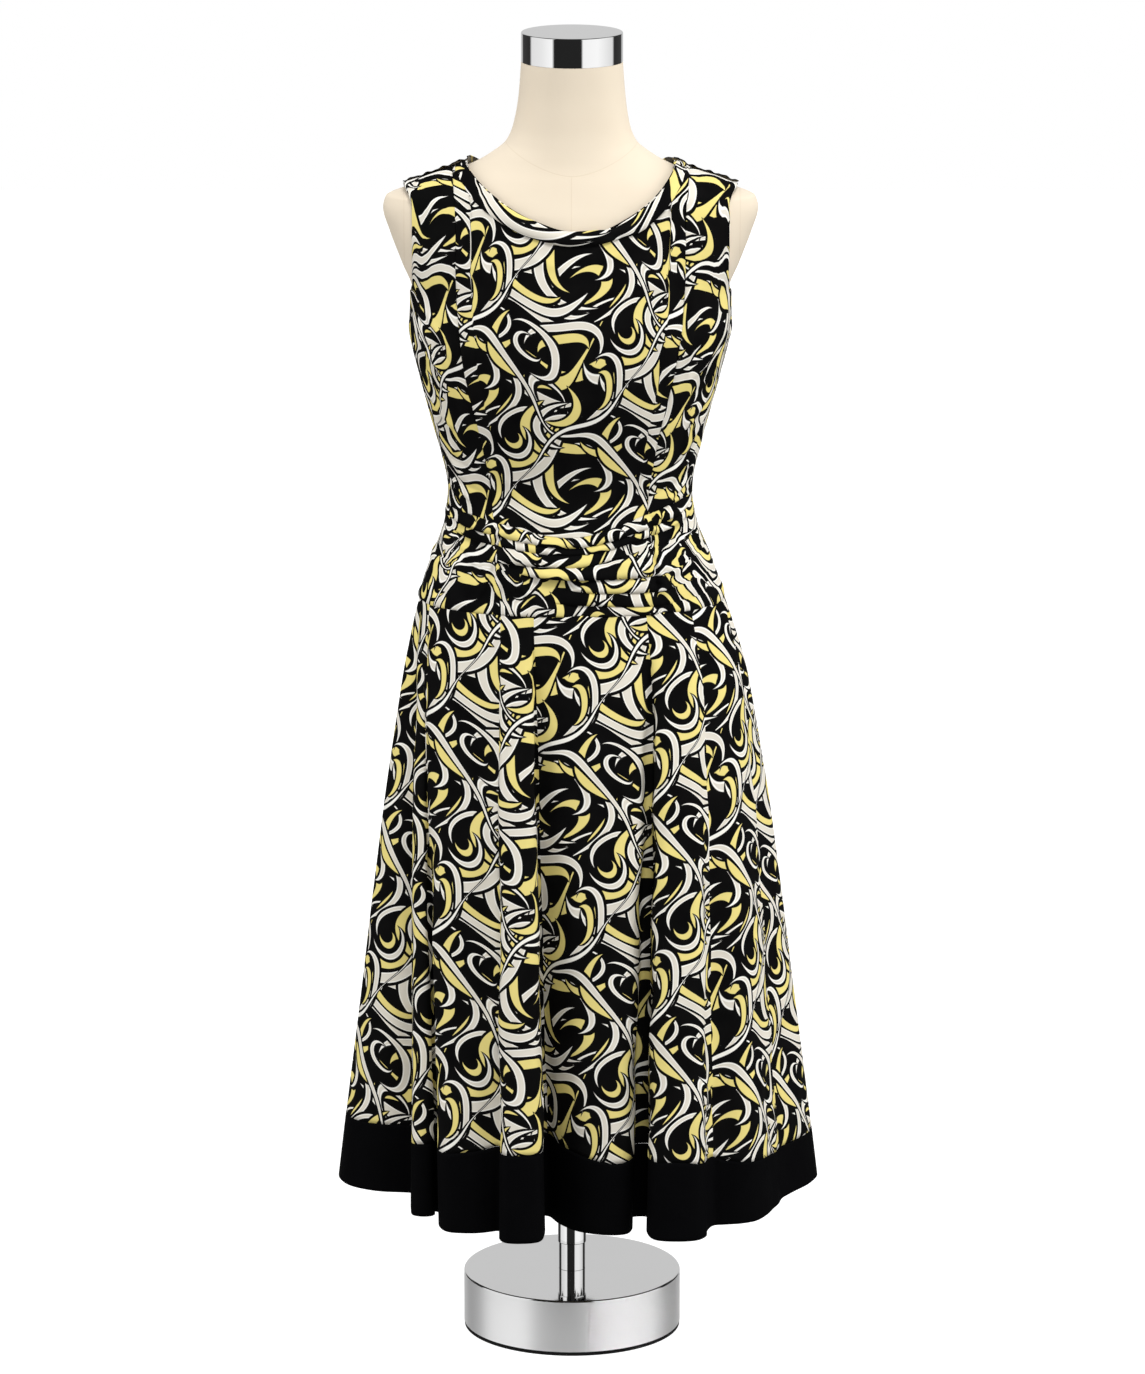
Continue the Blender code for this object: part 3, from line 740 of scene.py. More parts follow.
def laid(tree, under, half, away, ink):
    """Colour after a stroke 2 x half wide, "away" from its middle; its black gap tapers with it."""
    inside = maths(tree, "SUBTRACT", half, away)
    full = maths(tree, "MULTIPLY_ADD", half, 0.5, 0.3, clamp=True)
    around = maths(tree, "MULTIPLY_ADD", full, ink.gap, inside)
    passes = [(around, 0.0, BLACK), (inside, 0.0, ink.edge)]
    if ink.line is not None:
        passes.append((inside, ink.line, ink.body))
    for depth, start, colour in passes:
        start = 0.5 - start / SCREEN_SOFT
        cover = maths(tree, "MULTIPLY_ADD", depth, 1 / SCREEN_SOFT, start, clamp=True)
        under = blend(tree, cover, under, colour)
    return under


def ribbon_laid(tree, place, under, ribbon):
    direction = repeats(ribbon.across, ribbon.up)
    wander = slow_wave(tree, place, *ribbon.wander_wave)
    wander = maths(tree, "MULTIPLY_ADD", wander, ribbon.wander, ribbon.offset)
    crossed = maths(tree, "ADD", vector_maths(tree, "DOT_PRODUCT", place, direction), wander)
    away = maths(tree, "PINGPONG", crossed, 0.5)
    swell = slow_wave(tree, place, *ribbon.swell_wave)
    half = maths(tree, "MULTIPLY_ADD", swell, ribbon.swell, ribbon.half - DRAWN_IN)
    away = maths(tree, "DIVIDE", away, math.hypot(*direction))
    return laid(tree, under, half, away, ribbon.ink)


def nest_laid(tree, place, under, nest):
    x, y, _ = parts(tree, place)
    column = maths(tree, "MULTIPLY_ADD", x, 1 / REPEAT_WIDE, 0.5 - nest.across / REPEAT_WIDE)
    column = maths(tree, "FLOOR", column)
    x = maths(tree, "MULTIPLY_ADD", column, -REPEAT_WIDE, x)
    y = maths(tree, "MULTIPLY_ADD", maths(tree, "PINGPONG", column, 1.0), -REPEAT_TALL / 2, y)
    y = maths(tree, "WRAP", y, nest.up + REPEAT_TALL / 2, nest.up - REPEAT_TALL / 2)
    laid_over = {
        "Vector": new_node(tree, "ShaderNodeCombineXYZ", {0: x, 1: y}).outputs[0],
        "Location": (nest.across, nest.up, 0),
        "Rotation": (0, 0, math.radians(nest.turn)),
        "Scale": (1, 1 / nest.squash, 1),
    }
    about = new_node(tree, "ShaderNodeMapping", laid_over, vector_type="TEXTURE").outputs[0]
    radius = vector_maths(tree, "LENGTH", about)
    bearing = vector_maths(tree, "NORMALIZE", about)
    for stroke in nest.strokes:
        middle, span = math.radians(stroke.middle), math.radians(stroke.span)
        toward = (math.cos(middle), math.sin(middle), 0.0)
        facing = vector_maths(tree, "DOT_PRODUCT", bearing, toward)
        gain = stroke.wide / 2 / (1 - math.cos(span))
        half = maths(tree, "MULTIPLY_ADD", facing, gain, -gain * math.cos(span) - DRAWN_IN)
        away = maths(tree, "ABSOLUTE", maths(tree, "SUBTRACT", radius, stroke.radius))
        under = laid(tree, under, half, away, stroke.ink)
    return under


def make_print():
    """The whole design as one node group: place on the cut cloth in, colour out."""
    tree = bpy.data.node_groups.new("swirl_print", "ShaderNodeTree")
    tree.interface.new_socket("Cut", in_out="INPUT", socket_type="NodeSocketVector")
    tree.interface.new_socket("Colour", in_out="OUTPUT", socket_type="NodeSocketColor")
    metres = new_node(tree, "NodeGroupInput").outputs[0]
    inputs = {0: metres, "Scale": 1000.0}
    millimetres = new_node(tree, "ShaderNodeVectorMath", inputs, operation="SCALE").outputs[0]
    place = swayed(tree, millimetres)
    colour = BLACK
    for ribbon in UNDER_RIBBONS:
        colour = ribbon_laid(tree, place, colour, ribbon)
    for nest in NESTS:
        colour = nest_laid(tree, place, colour, nest)
    for ribbon in OVER_RIBBONS:
        colour = ribbon_laid(tree, place, colour, ribbon)
    new_node(tree, "NodeGroupOutput", {0: colour})
    return tree


def knit(tree, shader, base):
    """Finish of the knit on a base colour: fine wales, fuzz and a dull face."""
    cut = new_node(tree, "ShaderNodeUVMap", uv_map="cut").outputs[0]
    rows = {"Vector": cut, "Scale": 320.0, "Distortion": 1.5, "Detail Scale": 2.0}
    wales = new_node(tree, "ShaderNodeTexWave", rows, bands_direction="X").outputs["Fac"]
    dent(tree, shader, maths(tree, "ADD", wales, noise(tree, cut, 900.0)), 0.25, 0.0002)
    feed(tree, shader, {"Base Color": base, "Roughness": 0.80})
    feed(tree, shader, {"IOR": 1.25, "Specular IOR Level": 0.05})


def printed_jersey(name, design, ghost=0.0):
    """Jersey with the print on it; on the wrong side a ghost of it shows through greyer cloth."""
    material, tree, shader = new_material(name)
    cut = new_node(tree, "ShaderNodeUVMap", uv_map="cut").outputs[0]
    drawn = new_node(tree, "ShaderNodeGroup", {0: cut}, node_tree=design).outputs[0]
    faded = maths(tree, "MULTIPLY_ADD", noise(tree, cut, 24.0), 0.03, ghost)
    knit(tree, shader, blend(tree, faded, drawn, WRONG_SIDE))
    return material


def plain_jersey():
    material, tree, shader = new_material("plain_black_jersey")
    cloudy = noise(tree, object_place(tree), 30.0)
    knit(tree, shader, blend(tree, cloudy, BLACK, BLACK_WORN))
    return material


swirls = make_print()
jersey = printed_jersey("printed_jersey", swirls)
jersey_inside = printed_jersey("jersey_wrong_side", swirls, 0.6)
black_jersey = plain_jersey()

CLOTH = 0.0010
CLOTH_OFF = 0.0004
# A crease never sinks further than this from where the cloth lies.
DEEPEST = -0.0012


def size_of(vectors):
    return np.linalg.norm(vectors, axis=-1, keepdims=True)


def outward(points):
    """Unit vectors square off a grid of points, away from the pole."""
    along = np.gradient(points, axis=1)
    down = np.gradient(points, axis=0)
    off = np.cross(along, down)
    off /= size_of(off) + 1e-12
    facing = np.sign((off[..., :2] * points[..., :2]).sum(-1).mean())
    return off * (facing if facing else 1.0)


def evened(points, count):
    """The same columns with their points spread evenly along them."""
    travelled = lengths(points, 0)
    made = np.empty((count, points.shape[1], 3))
    for column in range(points.shape[1]):
        wanted = np.linspace(0, travelled[-1, column], count)
        for axis in range(3):
            made[:, column, axis] = np.interp(wanted, travelled[:, column], points[:, column, axis])
    return made


def lengths(points, axis):
    """Distance travelled along rows (axis 1) or columns (axis 0) of a grid."""
    steps = np.linalg.norm(np.diff(points, axis=axis), axis=-1)
    start = np.zeros_like(points[:, :1, 0]) if axis == 1 else np.zeros_like(points[:1, :, 0])
    return np.concatenate([start, np.cumsum(steps, axis=axis)], axis=axis)


# Creases pressed or pulled into the cloth, as gentle arcs between two points of a piece: "bow" is
# how far the arc bends, "rise" how proud the ridge stands (negative is a trough).
CREASE = "from_x from_z to_x to_z bow width rise"


CREASE_ENDS = 0.8
CREASE_SIDES = 0.8
CREASE_TROUGH = 0.55


def creased(across, height, creases):
    """How far the creases lift each point of a grid with these places. A ridge has a shallow
    trough on both sides."""
    lift = np.zeros_like(across)
    for crease in creases:
        start = np.array([crease.from_x, crease.from_z])
        run = np.array([crease.to_x, crease.to_z]) - start
        length = np.hypot(*run)
        run /= length
        along = ((across - start[0]) * run[0] + (height - start[1]) * run[1]) / length
        beside = -(across - start[0]) * run[1] + (height - start[1]) * run[0]
        beside = beside - 4 * crease.bow * along * (1 - along)
        fade = np.sin(np.pi * np.clip(along, 0, 1)) ** CREASE_ENDS
        spread = (beside / crease.width) ** 2
        ridge = (1 - CREASE_TROUGH * spread) * np.exp(-CREASE_SIDES * spread)
        lift += crease.rise * fade * ridge
    return lift


WAVES = 7


def ripples(across, height, seed, amount, size):
    """Soft unevenness of hanging cloth: a few crossing waves, the same at every run."""
    random = np.random.default_rng(seed)
    lift = np.zeros_like(across)
    for _ in range(WAVES):
        turn = random.uniform(0, np.pi)
        wave = size * random.uniform(0.7, 1.8)
        phase = random.uniform(0, 2 * np.pi)
        place = across * np.cos(turn) + height * np.sin(turn)
        lift += np.sin(2 * np.pi * place / wave + phase) * amount / WAVES
    return lift


def raised(points, lift):
    """The grid moved out from where it lies, by lift at each point."""
    return points + outward(points) * np.maximum(lift, DEEPEST)[..., None]


def cloth_piece(name, points, flat, right_side=jersey, wrong_side=jersey_inside):
    """A thin shell on a grid of points: the grid is its inner face."""
    mesh = grid_mesh(name, points, flat)
    facing = points[points.shape[0] // 2, points.shape[1] // 2, :2]
    middle = mesh.polygons[len(mesh.polygons) // 2].normal
    if middle.x * facing[0] + middle.y * facing[1] < 0:
        mesh.flip_normals()
    mesh.materials.append(right_side)
    mesh.materials.append(wrong_side)
    piece = placed(name, mesh)
    shell = piece.modifiers.new("Wall", "SOLIDIFY")
    shell.thickness = CLOTH
    shell.offset = 1.0
    shell.material_offset = 1
    return piece


def worn(piece, slot, node):
    fit(piece, "figure", slot, node)


# ------------------
# Bodice: front centre, two front sides and a back, cut from printed jersey and sewn together at
# the princess seams, the side seams and the shoulders. It lies close over the form.

# How far the cloth's inner face lies out from the form, and up from it over the shoulders.
EASE = table(
    "height out up",
    (1.000, 0.0100, 0.0),
    (1.070, 0.0060, 0.0),
    (1.144, 0.0017, 0.0),
    (1.250, 0.0022, 0.0),
    (1.420, 0.0025, 0.0),
    (1.500, 0.0026, 0.0018),
    (1.545, 0.0030, 0.0042),
    (1.600, 0.0030, 0.0048),
)
# Seams and edges by their distance from the centre line.
PRINCESS = table(
    "height reach",
    (1.090, 0.098),
    (1.143, 0.101),
    (1.222, 0.114),
    (1.281, 0.128),
    (1.330, 0.138),
    (1.384, 0.1445),
    (1.430, 0.147),
    (1.515, 0.148),
    (1.570, 0.153),
)
ARMHOLE = table(
    "height reach",
    (1.406, 0.2061),
    (1.412, 0.2045),
    (1.436, 0.2035),
    (1.524, 0.2035),
    (1.538, 0.2075),
    (1.546, 0.2165),
)
# The waist seam, by its share of the way from the centre to the side seams.
WAIST_SEAM = table(
    "share height",
    (-1.0, 1.125),
    (-0.6, 1.113),
    (0.0, 1.097),
    (0.6, 1.122),
    (1.0, 1.141),
)
# The upper and lower edge of the neck fold, from the left shoulder to the right one.
NECK_FOLD = table(
    "upper_x upper_z lower_x lower_z place",
    (-0.135, 1.5745, -0.146, 1.5675, 0.0),
    (-0.122, 1.5615, -0.135, 1.5530, 0.1),
    (-0.104, 1.5455, -0.119, 1.5340, 0.2),
    (-0.078, 1.5275, -0.090, 1.5120, 0.3),
    (-0.045, 1.5120, -0.050, 1.4925, 0.4),
    (0.000, 1.4990, 0.000, 1.4820, 0.5),
    (0.042, 1.5020, 0.044, 1.4850, 0.6),
    (0.072, 1.5145, 0.082, 1.4965, 0.7),
    (0.098, 1.5310, 0.110, 1.5170, 0.8),
    (0.119, 1.5510, 0.130, 1.5400, 0.9),
    (0.135, 1.5745, 0.146, 1.5670, 1.0),
)
HIP_SEAM = 1.000
UNDERARM = 1.406
STRAP_INNER = 0.133
SHOULDER = 1.546
SHOULDER_LOWEST = 1.530
SHOULDER_HIGHEST = 1.620
BACK_NECK_CENTRE = 1.532
BACK_NECK_CURVE = 2.5
FRONT = -1
BACK = 1
# The bodice is first drawn so many times as fine, and so much closer towards the top.
DRAWN_FINER = 4
CLOSER_AT_TOP = 2.4


def cloth_section(height):
    """side, front, back and power of the cloth's inner face at heights."""
    out = smooth(EASE, "height", "out", height)
    up = smooth(EASE, "height", "up", height)
    side, front, back, power = form_section(height - up)
    return side + out, front + out, back + out, power


def side_reach(height):
    return cloth_section(height)[0]


def bodice_point(x, height, facing):
    """Points on the cloth at distances from the centre line; facing is FRONT or BACK."""
    side, front, back, power = cloth_section(height)
    share = np.minimum(np.abs(x) / side, 1.0)
    y = facing * np.where(facing < 0, front, back) * (1 - share**power) ** (1 / power)
    return np.stack(np.broadcast_arrays(lean(height) + np.sign(x) * share * side, y, height), -1)


def shoulder_height(x):
    """Height of the shoulder line at distances from the centre line."""
    low, high = np.full(np.shape(x), SHOULDER_LOWEST), np.full(np.shape(x), SHOULDER_HIGHEST)
    for _ in range(30):
        middle = (low + high) / 2
        inside = side_reach(middle) > np.abs(x)
        low, high = np.where(inside, middle, low), np.where(inside, high, middle)
    return low


def princess(height):
    return smooth(PRINCESS, "height", "reach", height)


def outer_reach(height):
    edge = smooth(ARMHOLE, "height", "reach", height)
    return np.where(height <= UNDERARM, side_reach(height), edge)


def front_neck_height(x):
    return smooth(NECK_FOLD, "upper_x", "upper_z", x)


def back_neck_height(x):
    share = np.minimum(np.abs(x) / STRAP_INNER, 1.0)
    top = shoulder_height(np.array(STRAP_INNER))
    return mix(BACK_NECK_CENTRE, top, share**BACK_NECK_CURVE)


def waist_height(share):
    return smooth(WAIST_SEAM, "share", "height", share)


def waist_end(reach):
    """Where the waist seam crosses lines that lie reach(height) from the centre line."""
    height = waist_height(np.zeros(1))
    for _ in range(12):
        height = waist_height(reach(height) / side_reach(height))
    return height


def bodice_grid(reach, shares, facing, bottom, neck_height, rows):
    """Grid of columns at reach(share, height), from bottom to the neckline or the shoulder."""
    x = reach(shares, np.full(shares.shape, SHOULDER))
    for _ in range(3):
        x = reach(shares, shoulder_height(x))
    at_neck = np.abs(x) < STRAP_INNER
    top = np.where(at_neck, neck_height(x), shoulder_height(x))
    rise = 1 - (1 - np.linspace(0, 1, DRAWN_FINER * rows)) ** CLOSER_AT_TOP
    height = mix(bottom[None, :], top[None, :], rise[:, None])
    points = bodice_point(reach(shares[None, :], height), height, facing)
    ridge = np.stack([lean(top) + x, np.zeros_like(x), top], -1)
    points[-1] = np.where(at_neck[:, None], points[-1], ridge)
    return evened(points, rows)


SEAM_SUNK = 0.0008
SEAM_SPREAD = 0.0028


def bell(distance, spread):
    """1 at no distance, fading softly to nothing past the spread."""
    return np.exp(-((distance / spread) ** 2))


def seam_dip(distance):
    """Cloth sinks a little towards a seam."""
    return -SEAM_SUNK * bell(distance, SEAM_SPREAD)


# A row may step up from the neckline to the shoulder; the cloth's width doesn't count that rise.
LONGEST_STEP = 2.2


def cut_places(points, middle, shift=(0.0, 0.0)):
    """Place of each point on the flat cloth: across from a middle column, up from the bottom."""
    steps = np.linalg.norm(np.diff(points, axis=1), axis=-1)
    steps = np.minimum(steps, LONGEST_STEP * steps[len(steps) // 2])
    along = np.pad(np.cumsum(steps, axis=1), ((0, 0), (1, 0)))
    across = along - along[:, middle : middle + 1]
    up = lengths(points, 0) + points[:1, :, 2]
    return np.stack([across + shift[0], up + shift[1]], -1)


SHOULDER_TURN = 0.030
SHOULDER_DRAW = 0.55


def over_shoulder(flat, points):
    """The print is drawn out a little where the cloth turns over the shoulder."""
    up = lengths(points, 0)
    near = np.maximum(SHOULDER_TURN - (up[-1:] - up), 0) * (np.abs(points[-1:, :, 0]) > STRAP_INNER)
    flat[..., 1] -= SHOULDER_DRAW * near
    return flat


FRONT_CREASES = table(
    CREASE,
    (-0.120, 1.215, -0.060, 1.128, 0.006, 0.006, 0.0012),
    (0.118, 1.225, 0.050, 1.130, -0.006, 0.007, 0.0012),
    (-0.100, 1.150, 0.000, 1.118, -0.012, 0.007, 0.0014),
    (0.004, 1.117, 0.100, 1.152, -0.012, 0.006, 0.0012),
    (-0.140, 1.460, -0.040, 1.430, -0.010, 0.010, 0.0010),
    (0.140, 1.450, 0.050, 1.425, 0.010, 0.010, 0.0009),
    (-0.070, 1.480, 0.010, 1.455, -0.008, 0.007, 0.0013),
    (0.020, 1.462, 0.080, 1.484, -0.006, 0.006, 0.0011),
)
SIDE_CREASES = table(
    CREASE,
    (0.203, 1.402, 0.160, 1.352, 0.003, 0.0040, 0.0022),
    (0.212, 1.386, 0.146, 1.322, 0.006, 0.0050, -0.0018),
    (0.214, 1.360, 0.162, 1.304, 0.002, 0.0036, 0.0036),
    (0.210, 1.338, 0.150, 1.262, 0.007, 0.0044, -0.0026),
    (0.212, 1.318, 0.158, 1.268, 0.001, 0.0034, 0.0028),
    (0.208, 1.300, 0.136, 1.222, 0.008, 0.0050, 0.0020),
    (0.206, 1.272, 0.146, 1.226, 0.003, 0.0032, -0.0028),
    (0.202, 1.258, 0.150, 1.192, -0.002, 0.0042, 0.0040),
    (0.196, 1.230, 0.120, 1.176, 0.007, 0.0036, -0.0020),
    (0.190, 1.218, 0.140, 1.166, 0.001, 0.0034, 0.0034),
    (0.188, 1.186, 0.112, 1.150, 0.006, 0.0040, -0.0022),
    (0.184, 1.176, 0.124, 1.132, 0.001, 0.0032, 0.0034),
    (0.180, 1.156, 0.138, 1.134, 0.002, 0.0026, 0.0020),
    (0.164, 1.400, 0.156, 1.290, -0.004, 0.0050, 0.0022),
    (0.184, 1.300, 0.158, 1.196, -0.006, 0.0042, 0.0020),
    (0.168, 1.470, 0.160, 1.380, -0.004, 0.0060, 0.0012),
)
BACK_CREASES = table(
    CREASE,
    (-0.190, 1.200, 0.000, 1.160, 0.012, 0.008, 0.0016),
    (0.190, 1.212, 0.020, 1.172, -0.010, 0.009, 0.0015),
    (-0.180, 1.150, 0.030, 1.128, 0.010, 0.007, 0.0018),
    (0.185, 1.160, -0.010, 1.140, -0.012, 0.008, -0.0014),
    (-0.200, 1.110, -0.040, 1.098, 0.008, 0.008, 0.0015),
    (0.205, 1.118, 0.060, 1.100, -0.008, 0.008, 0.0016),
    (-0.150, 1.455, -0.060, 1.300, 0.010, 0.013, 0.0012),
    (0.150, 1.440, 0.070, 1.290, -0.010, 0.012, 0.0012),
    (-0.010, 1.500, 0.006, 1.330, 0.006, 0.016, 0.0009),
)


SHOULDER_ROLL = 0.0028
SHOULDER_ROLL_SPREAD = 0.010
SHOULDER_WAVES = table("share per_metre phase", (0.30, 330, 0.0), (0.20, 570, 1.3))
STRAP_MIDDLE = 0.140
STRAP_HALF = 0.012
STRAP_FULLER = 0.5


def shoulder_roll(points):
    """The shoulder seam stands up in a soft, uneven roll, highest beside the neck."""
    up, across = lengths(points, 0), points[-1:, :, 0]
    wave = 1.0
    for row in SHOULDER_WAVES:
        wave = wave + row.share * np.sin(across * row.per_metre + row.phase)
    near_neck = 1 + STRAP_FULLER * bell(np.abs(across) - STRAP_MIDDLE, STRAP_HALF)
    return SHOULDER_ROLL * wave * near_neck * bell(up[-1:] - up, SHOULDER_ROLL_SPREAD)


def make_front_centre():
    columns, rows, middle = 125, 196, 62
    shares = np.linspace(-1, 1, columns)

    def reach(share, height):
        return share * princess(height)

    bottom = waist_end(lambda height: reach(shares, height))
    points = bodice_grid(reach, shares, FRONT, bottom, front_neck_height, rows)
    height = points[..., 2]
    across = cut_places(points, middle)[..., 0]
    lift = CLOTH_OFF + creased(points[..., 0] - lean(height), height, FRONT_CREASES)
    lift = lift + seam_dip(across - across[:, :1]) + seam_dip(across - across[:, -1:])
    lift = lift + ripples(across, height, seed=3, amount=0.0010, size=0.07)
    points = raised(points, lift)
    flat = over_shoulder(cut_places(points, middle, shift=(0.020, 0.010)), points)
    piece = cloth_piece("bodice_front_centre", points, flat)
    worn(piece, "printed_jersey", "front_centre")


# The print on the side pieces is bunched below the bust, where the cloth is drawn in.
BUNCHED = 0.45
BUNCHED_BELOW = 1.42
BUNCHED_OVER = 0.08


def make_front_side(name, node, hand):
    """hand is 1 on the right and -1 on the left."""
    columns, rows = 61, 176
    turns = np.sin(np.linspace(0, math.pi / 2, columns))
    order = turns if hand > 0 else turns[::-1]

    def reach(share, height):
        return hand * mix(princess(height), outer_reach(height), share)

    bottom = waist_end(lambda height: reach(order, height))
    points = bodice_grid(reach, order, FRONT, bottom, front_neck_height, rows)
    height = points[..., 2]
    seam = 0 if hand > 0 else columns - 1
    across = np.abs(cut_places(points, seam)[..., 0])
    lift = CLOTH_OFF + creased(across + princess(height), height, SIDE_CREASES)
    lift = lift + seam_dip(across)
    lift = lift + ripples(across, height, seed=5 + hand, amount=0.0014, size=0.05)
    points = raised(points, lift)
    flat = over_shoulder(cut_places(points, seam), points)
    bunched = 1 + BUNCHED * share_of(BUNCHED_BELOW - points[..., 2], BUNCHED_OVER)
    flat = flat * np.stack([bunched, np.ones_like(bunched)], -1) + (0.10 + 0.045 * hand, -0.062)
    piece = cloth_piece(name, points, flat)
    worn(piece, "printed_jersey", node)


SHOULDER_EDGE_ROWS = 2


def blacken_shoulders(piece, points):
    """The print leaves the folded shoulder edge black."""
    rows, columns = points.shape[:2]
    piece.data.materials.append(black_jersey)
    for face in piece.data.polygons[(rows - 1 - SHOULDER_EDGE_ROWS) * (columns - 1) :]:
        if abs(face.center.x) > STRAP_INNER:
            face.material_index = 2


def make_back():
    columns, rows, middle = 181, 236, 90
    shares = np.sin(np.linspace(-math.pi / 2, math.pi / 2, columns))[::-1]

    def reach(share, height):
        return share * outer_reach(height)

    bottom = np.full(shares.shape, HIP_SEAM)
    points = bodice_grid(reach, shares, BACK, bottom, back_neck_height, rows)
    across = cut_places(points, middle)[..., 0]
    lift = CLOTH_OFF + creased(across, points[..., 2], BACK_CREASES) + shoulder_roll(points)
    lift = lift + ripples(across, points[..., 2], seed=11, amount=0.0016, size=0.08)
    points = raised(points, lift)
    flat = over_shoulder(cut_places(points, middle, shift=(0.061, 0.133)), points)
    piece = cloth_piece("bodice_back", points, flat)
    blacken_shoulders(piece, points)
    worn(piece, "printed_jersey", "back")


# The roll turns over between two angles. It is slim and rippled at the left shoulder, full from
# a third of the way along, and wrung once; these places are shares of the way.
ROLL_FROM = -104
ROLL_TO = 118
ROLL_OFF = 0.0020
ROLL_SLIM = 0.0012
ROLL_FULL = 0.0078
ROLL_FILLS_FROM = 0.20
ROLL_FILLS_OVER = 0.14
ROLL_EMPTIES_TO = 1.02
ROLL_EMPTIES_OVER = 0.30
ROLL_TILT = 0.35
ROLL_UNDER = 0.24
ROLL_RIPPLE = 0.0006
ROLL_RIPPLES = 17
WRUNG_AT = 0.635
WRUNG_SPREAD = 0.040
WRUNG_NARROWER = 0.30
WRUNG_FLATTER = 0.35
WRUNG_RIPPLE = 0.0016
WRUNG_TURNS = 2.2
WRUNG_SLANT = 60


def make_neck_fold():
    """The turned edge of the front neckline, which rolls over softly and twists once."""
    columns, rows = 181, 30
    along = np.linspace(0, 1, columns)
    spread = ((1 - np.cos(np.pi * along)) / 2)[None, :]
    turn = np.radians(np.linspace(ROLL_FROM, ROLL_TO, rows))[:, None]
    upper_x, upper_z, lower_x, lower_z = [
        smooth(NECK_FOLD, "place", name, spread) for name in NECK_FOLD[0]._fields[:4]
    ]
    full = share_of(spread - ROLL_FILLS_FROM, ROLL_FILLS_OVER)
    full = full * share_of(ROLL_EMPTIES_TO - spread, ROLL_EMPTIES_OVER)
    twist = bell(spread - WRUNG_AT, WRUNG_SPREAD)
    over = 0.5 + 0.5 * np.sin(turn) * (1 - WRUNG_NARROWER * twist)
    x, height = mix(lower_x, upper_x, over), mix(lower_z, upper_z, over)
    height = np.minimum(height, shoulder_height(x) - 0.0002)
    points = bodice_point(x, height, FRONT)
    for column in (0, columns - 1):
        top = shoulder_height(points[:, column, 0])
        points[:, column] = np.stack([points[:, column, 0], np.zeros(rows), top], -1)
    middle = bodice_point(mix(lower_x, upper_x, 0.5), mix(lower_z, upper_z, 0.5), FRONT)
    off = middle * (1.0, 1.0, 0.0)
    off = off / (size_of(off) + 1e-9) + (0.0, 0.0, ROLL_TILT)
    off = off / size_of(off)
    round_out = share_of(np.cos(turn) + ROLL_UNDER, 1 + ROLL_UNDER)
    rise = mix(ROLL_SLIM, ROLL_FULL, full) * (1 - WRUNG_FLATTER * twist)
    wring = WRUNG_RIPPLE * twist * np.sin(WRUNG_TURNS * turn + WRUNG_SLANT * (spread - WRUNG_AT))
    wave = ROLL_RIPPLE * np.sin(2 * np.pi * spread * ROLL_RIPPLES) * (1 - full)
    lift = ROLL_OFF + rise * round_out + wring * round_out + wave
    points = points + off * lift[..., None]
    flat = cut_places(points, columns // 2) * (0.5, 1.0) + (0.030, 0.0)
    flat[..., 1] += -0.026 - flat[:1, :, 1]
    piece = cloth_piece("neck_fold_roll", points, flat)
    worn(piece, "printed_jersey", "neck_fold")


make_front_centre()
make_front_side("bodice_side_left", "front_side_left", -1)
make_front_side("bodice_side_right", "front_side_right", 1)
make_back()
make_neck_fold()

# ------------------
# Midriff: one front panel cut much taller than the gap it fills, gathered into the seams so that
# it hangs in long smile-shaped folds. Sewn to the bodice above and the skirt below.

# Lower edges of the folds, as heights from the left side seam to the right one by way of the two
# gathered points and the dip between them. "hidden" is the cloth turned up behind the edge; a fold
# runs from "starts" to "ends", shares of the way to the side seams, and dies away outside them.
RUCHES = table(
    "side_left gather_left dip gather_right side_right proud hidden starts ends",
    (1.1120, 1.0995, 1.0865, 1.1075, 1.1275, 0.0088, 0.016, -0.89, 0.89),
    (1.0990, 1.0870, 1.0770, 1.0970, 1.1170, 0.0060, 0.023, -0.86, 0.90),
    (1.0740, 1.0660, 1.0620, 1.0800, 1.0900, 0.0090, 0.019, -0.58, 0.20),
    (1.0600, 1.0560, 1.0466, 1.0475, 1.0700, 0.0110, 0.026, -0.30, 0.66),
    (1.0370, 1.0350, 1.0310, 1.0280, 1.0420, 0.0075, 0.015, 0.06, 0.64),
    (1.0160, 1.0160, 1.0150, 1.0100, 1.0180, 0.0050, 0.011, -0.05, 0.62),
    (1.0000, 1.0000, 1.0000, 1.0000, 1.0000, 0.0020, 0.000, -1.10, 1.10),
)
RUCHE_SHARES = (-1.0, -0.6, 0.0, 0.6, 1.0)
FOLD_STEPS = 10
FOLD_FADE = 0.16
# Down a fold, in shares of its depth: where it is fullest, how much of it turns back under, and
# where and how widely its edge sags over what lies below.
FULLEST = 0.80
TURNED_BACK = 0.12
SAG_AT = 0.93
SAG_SPREAD = 0.09
SAG = 0.0026
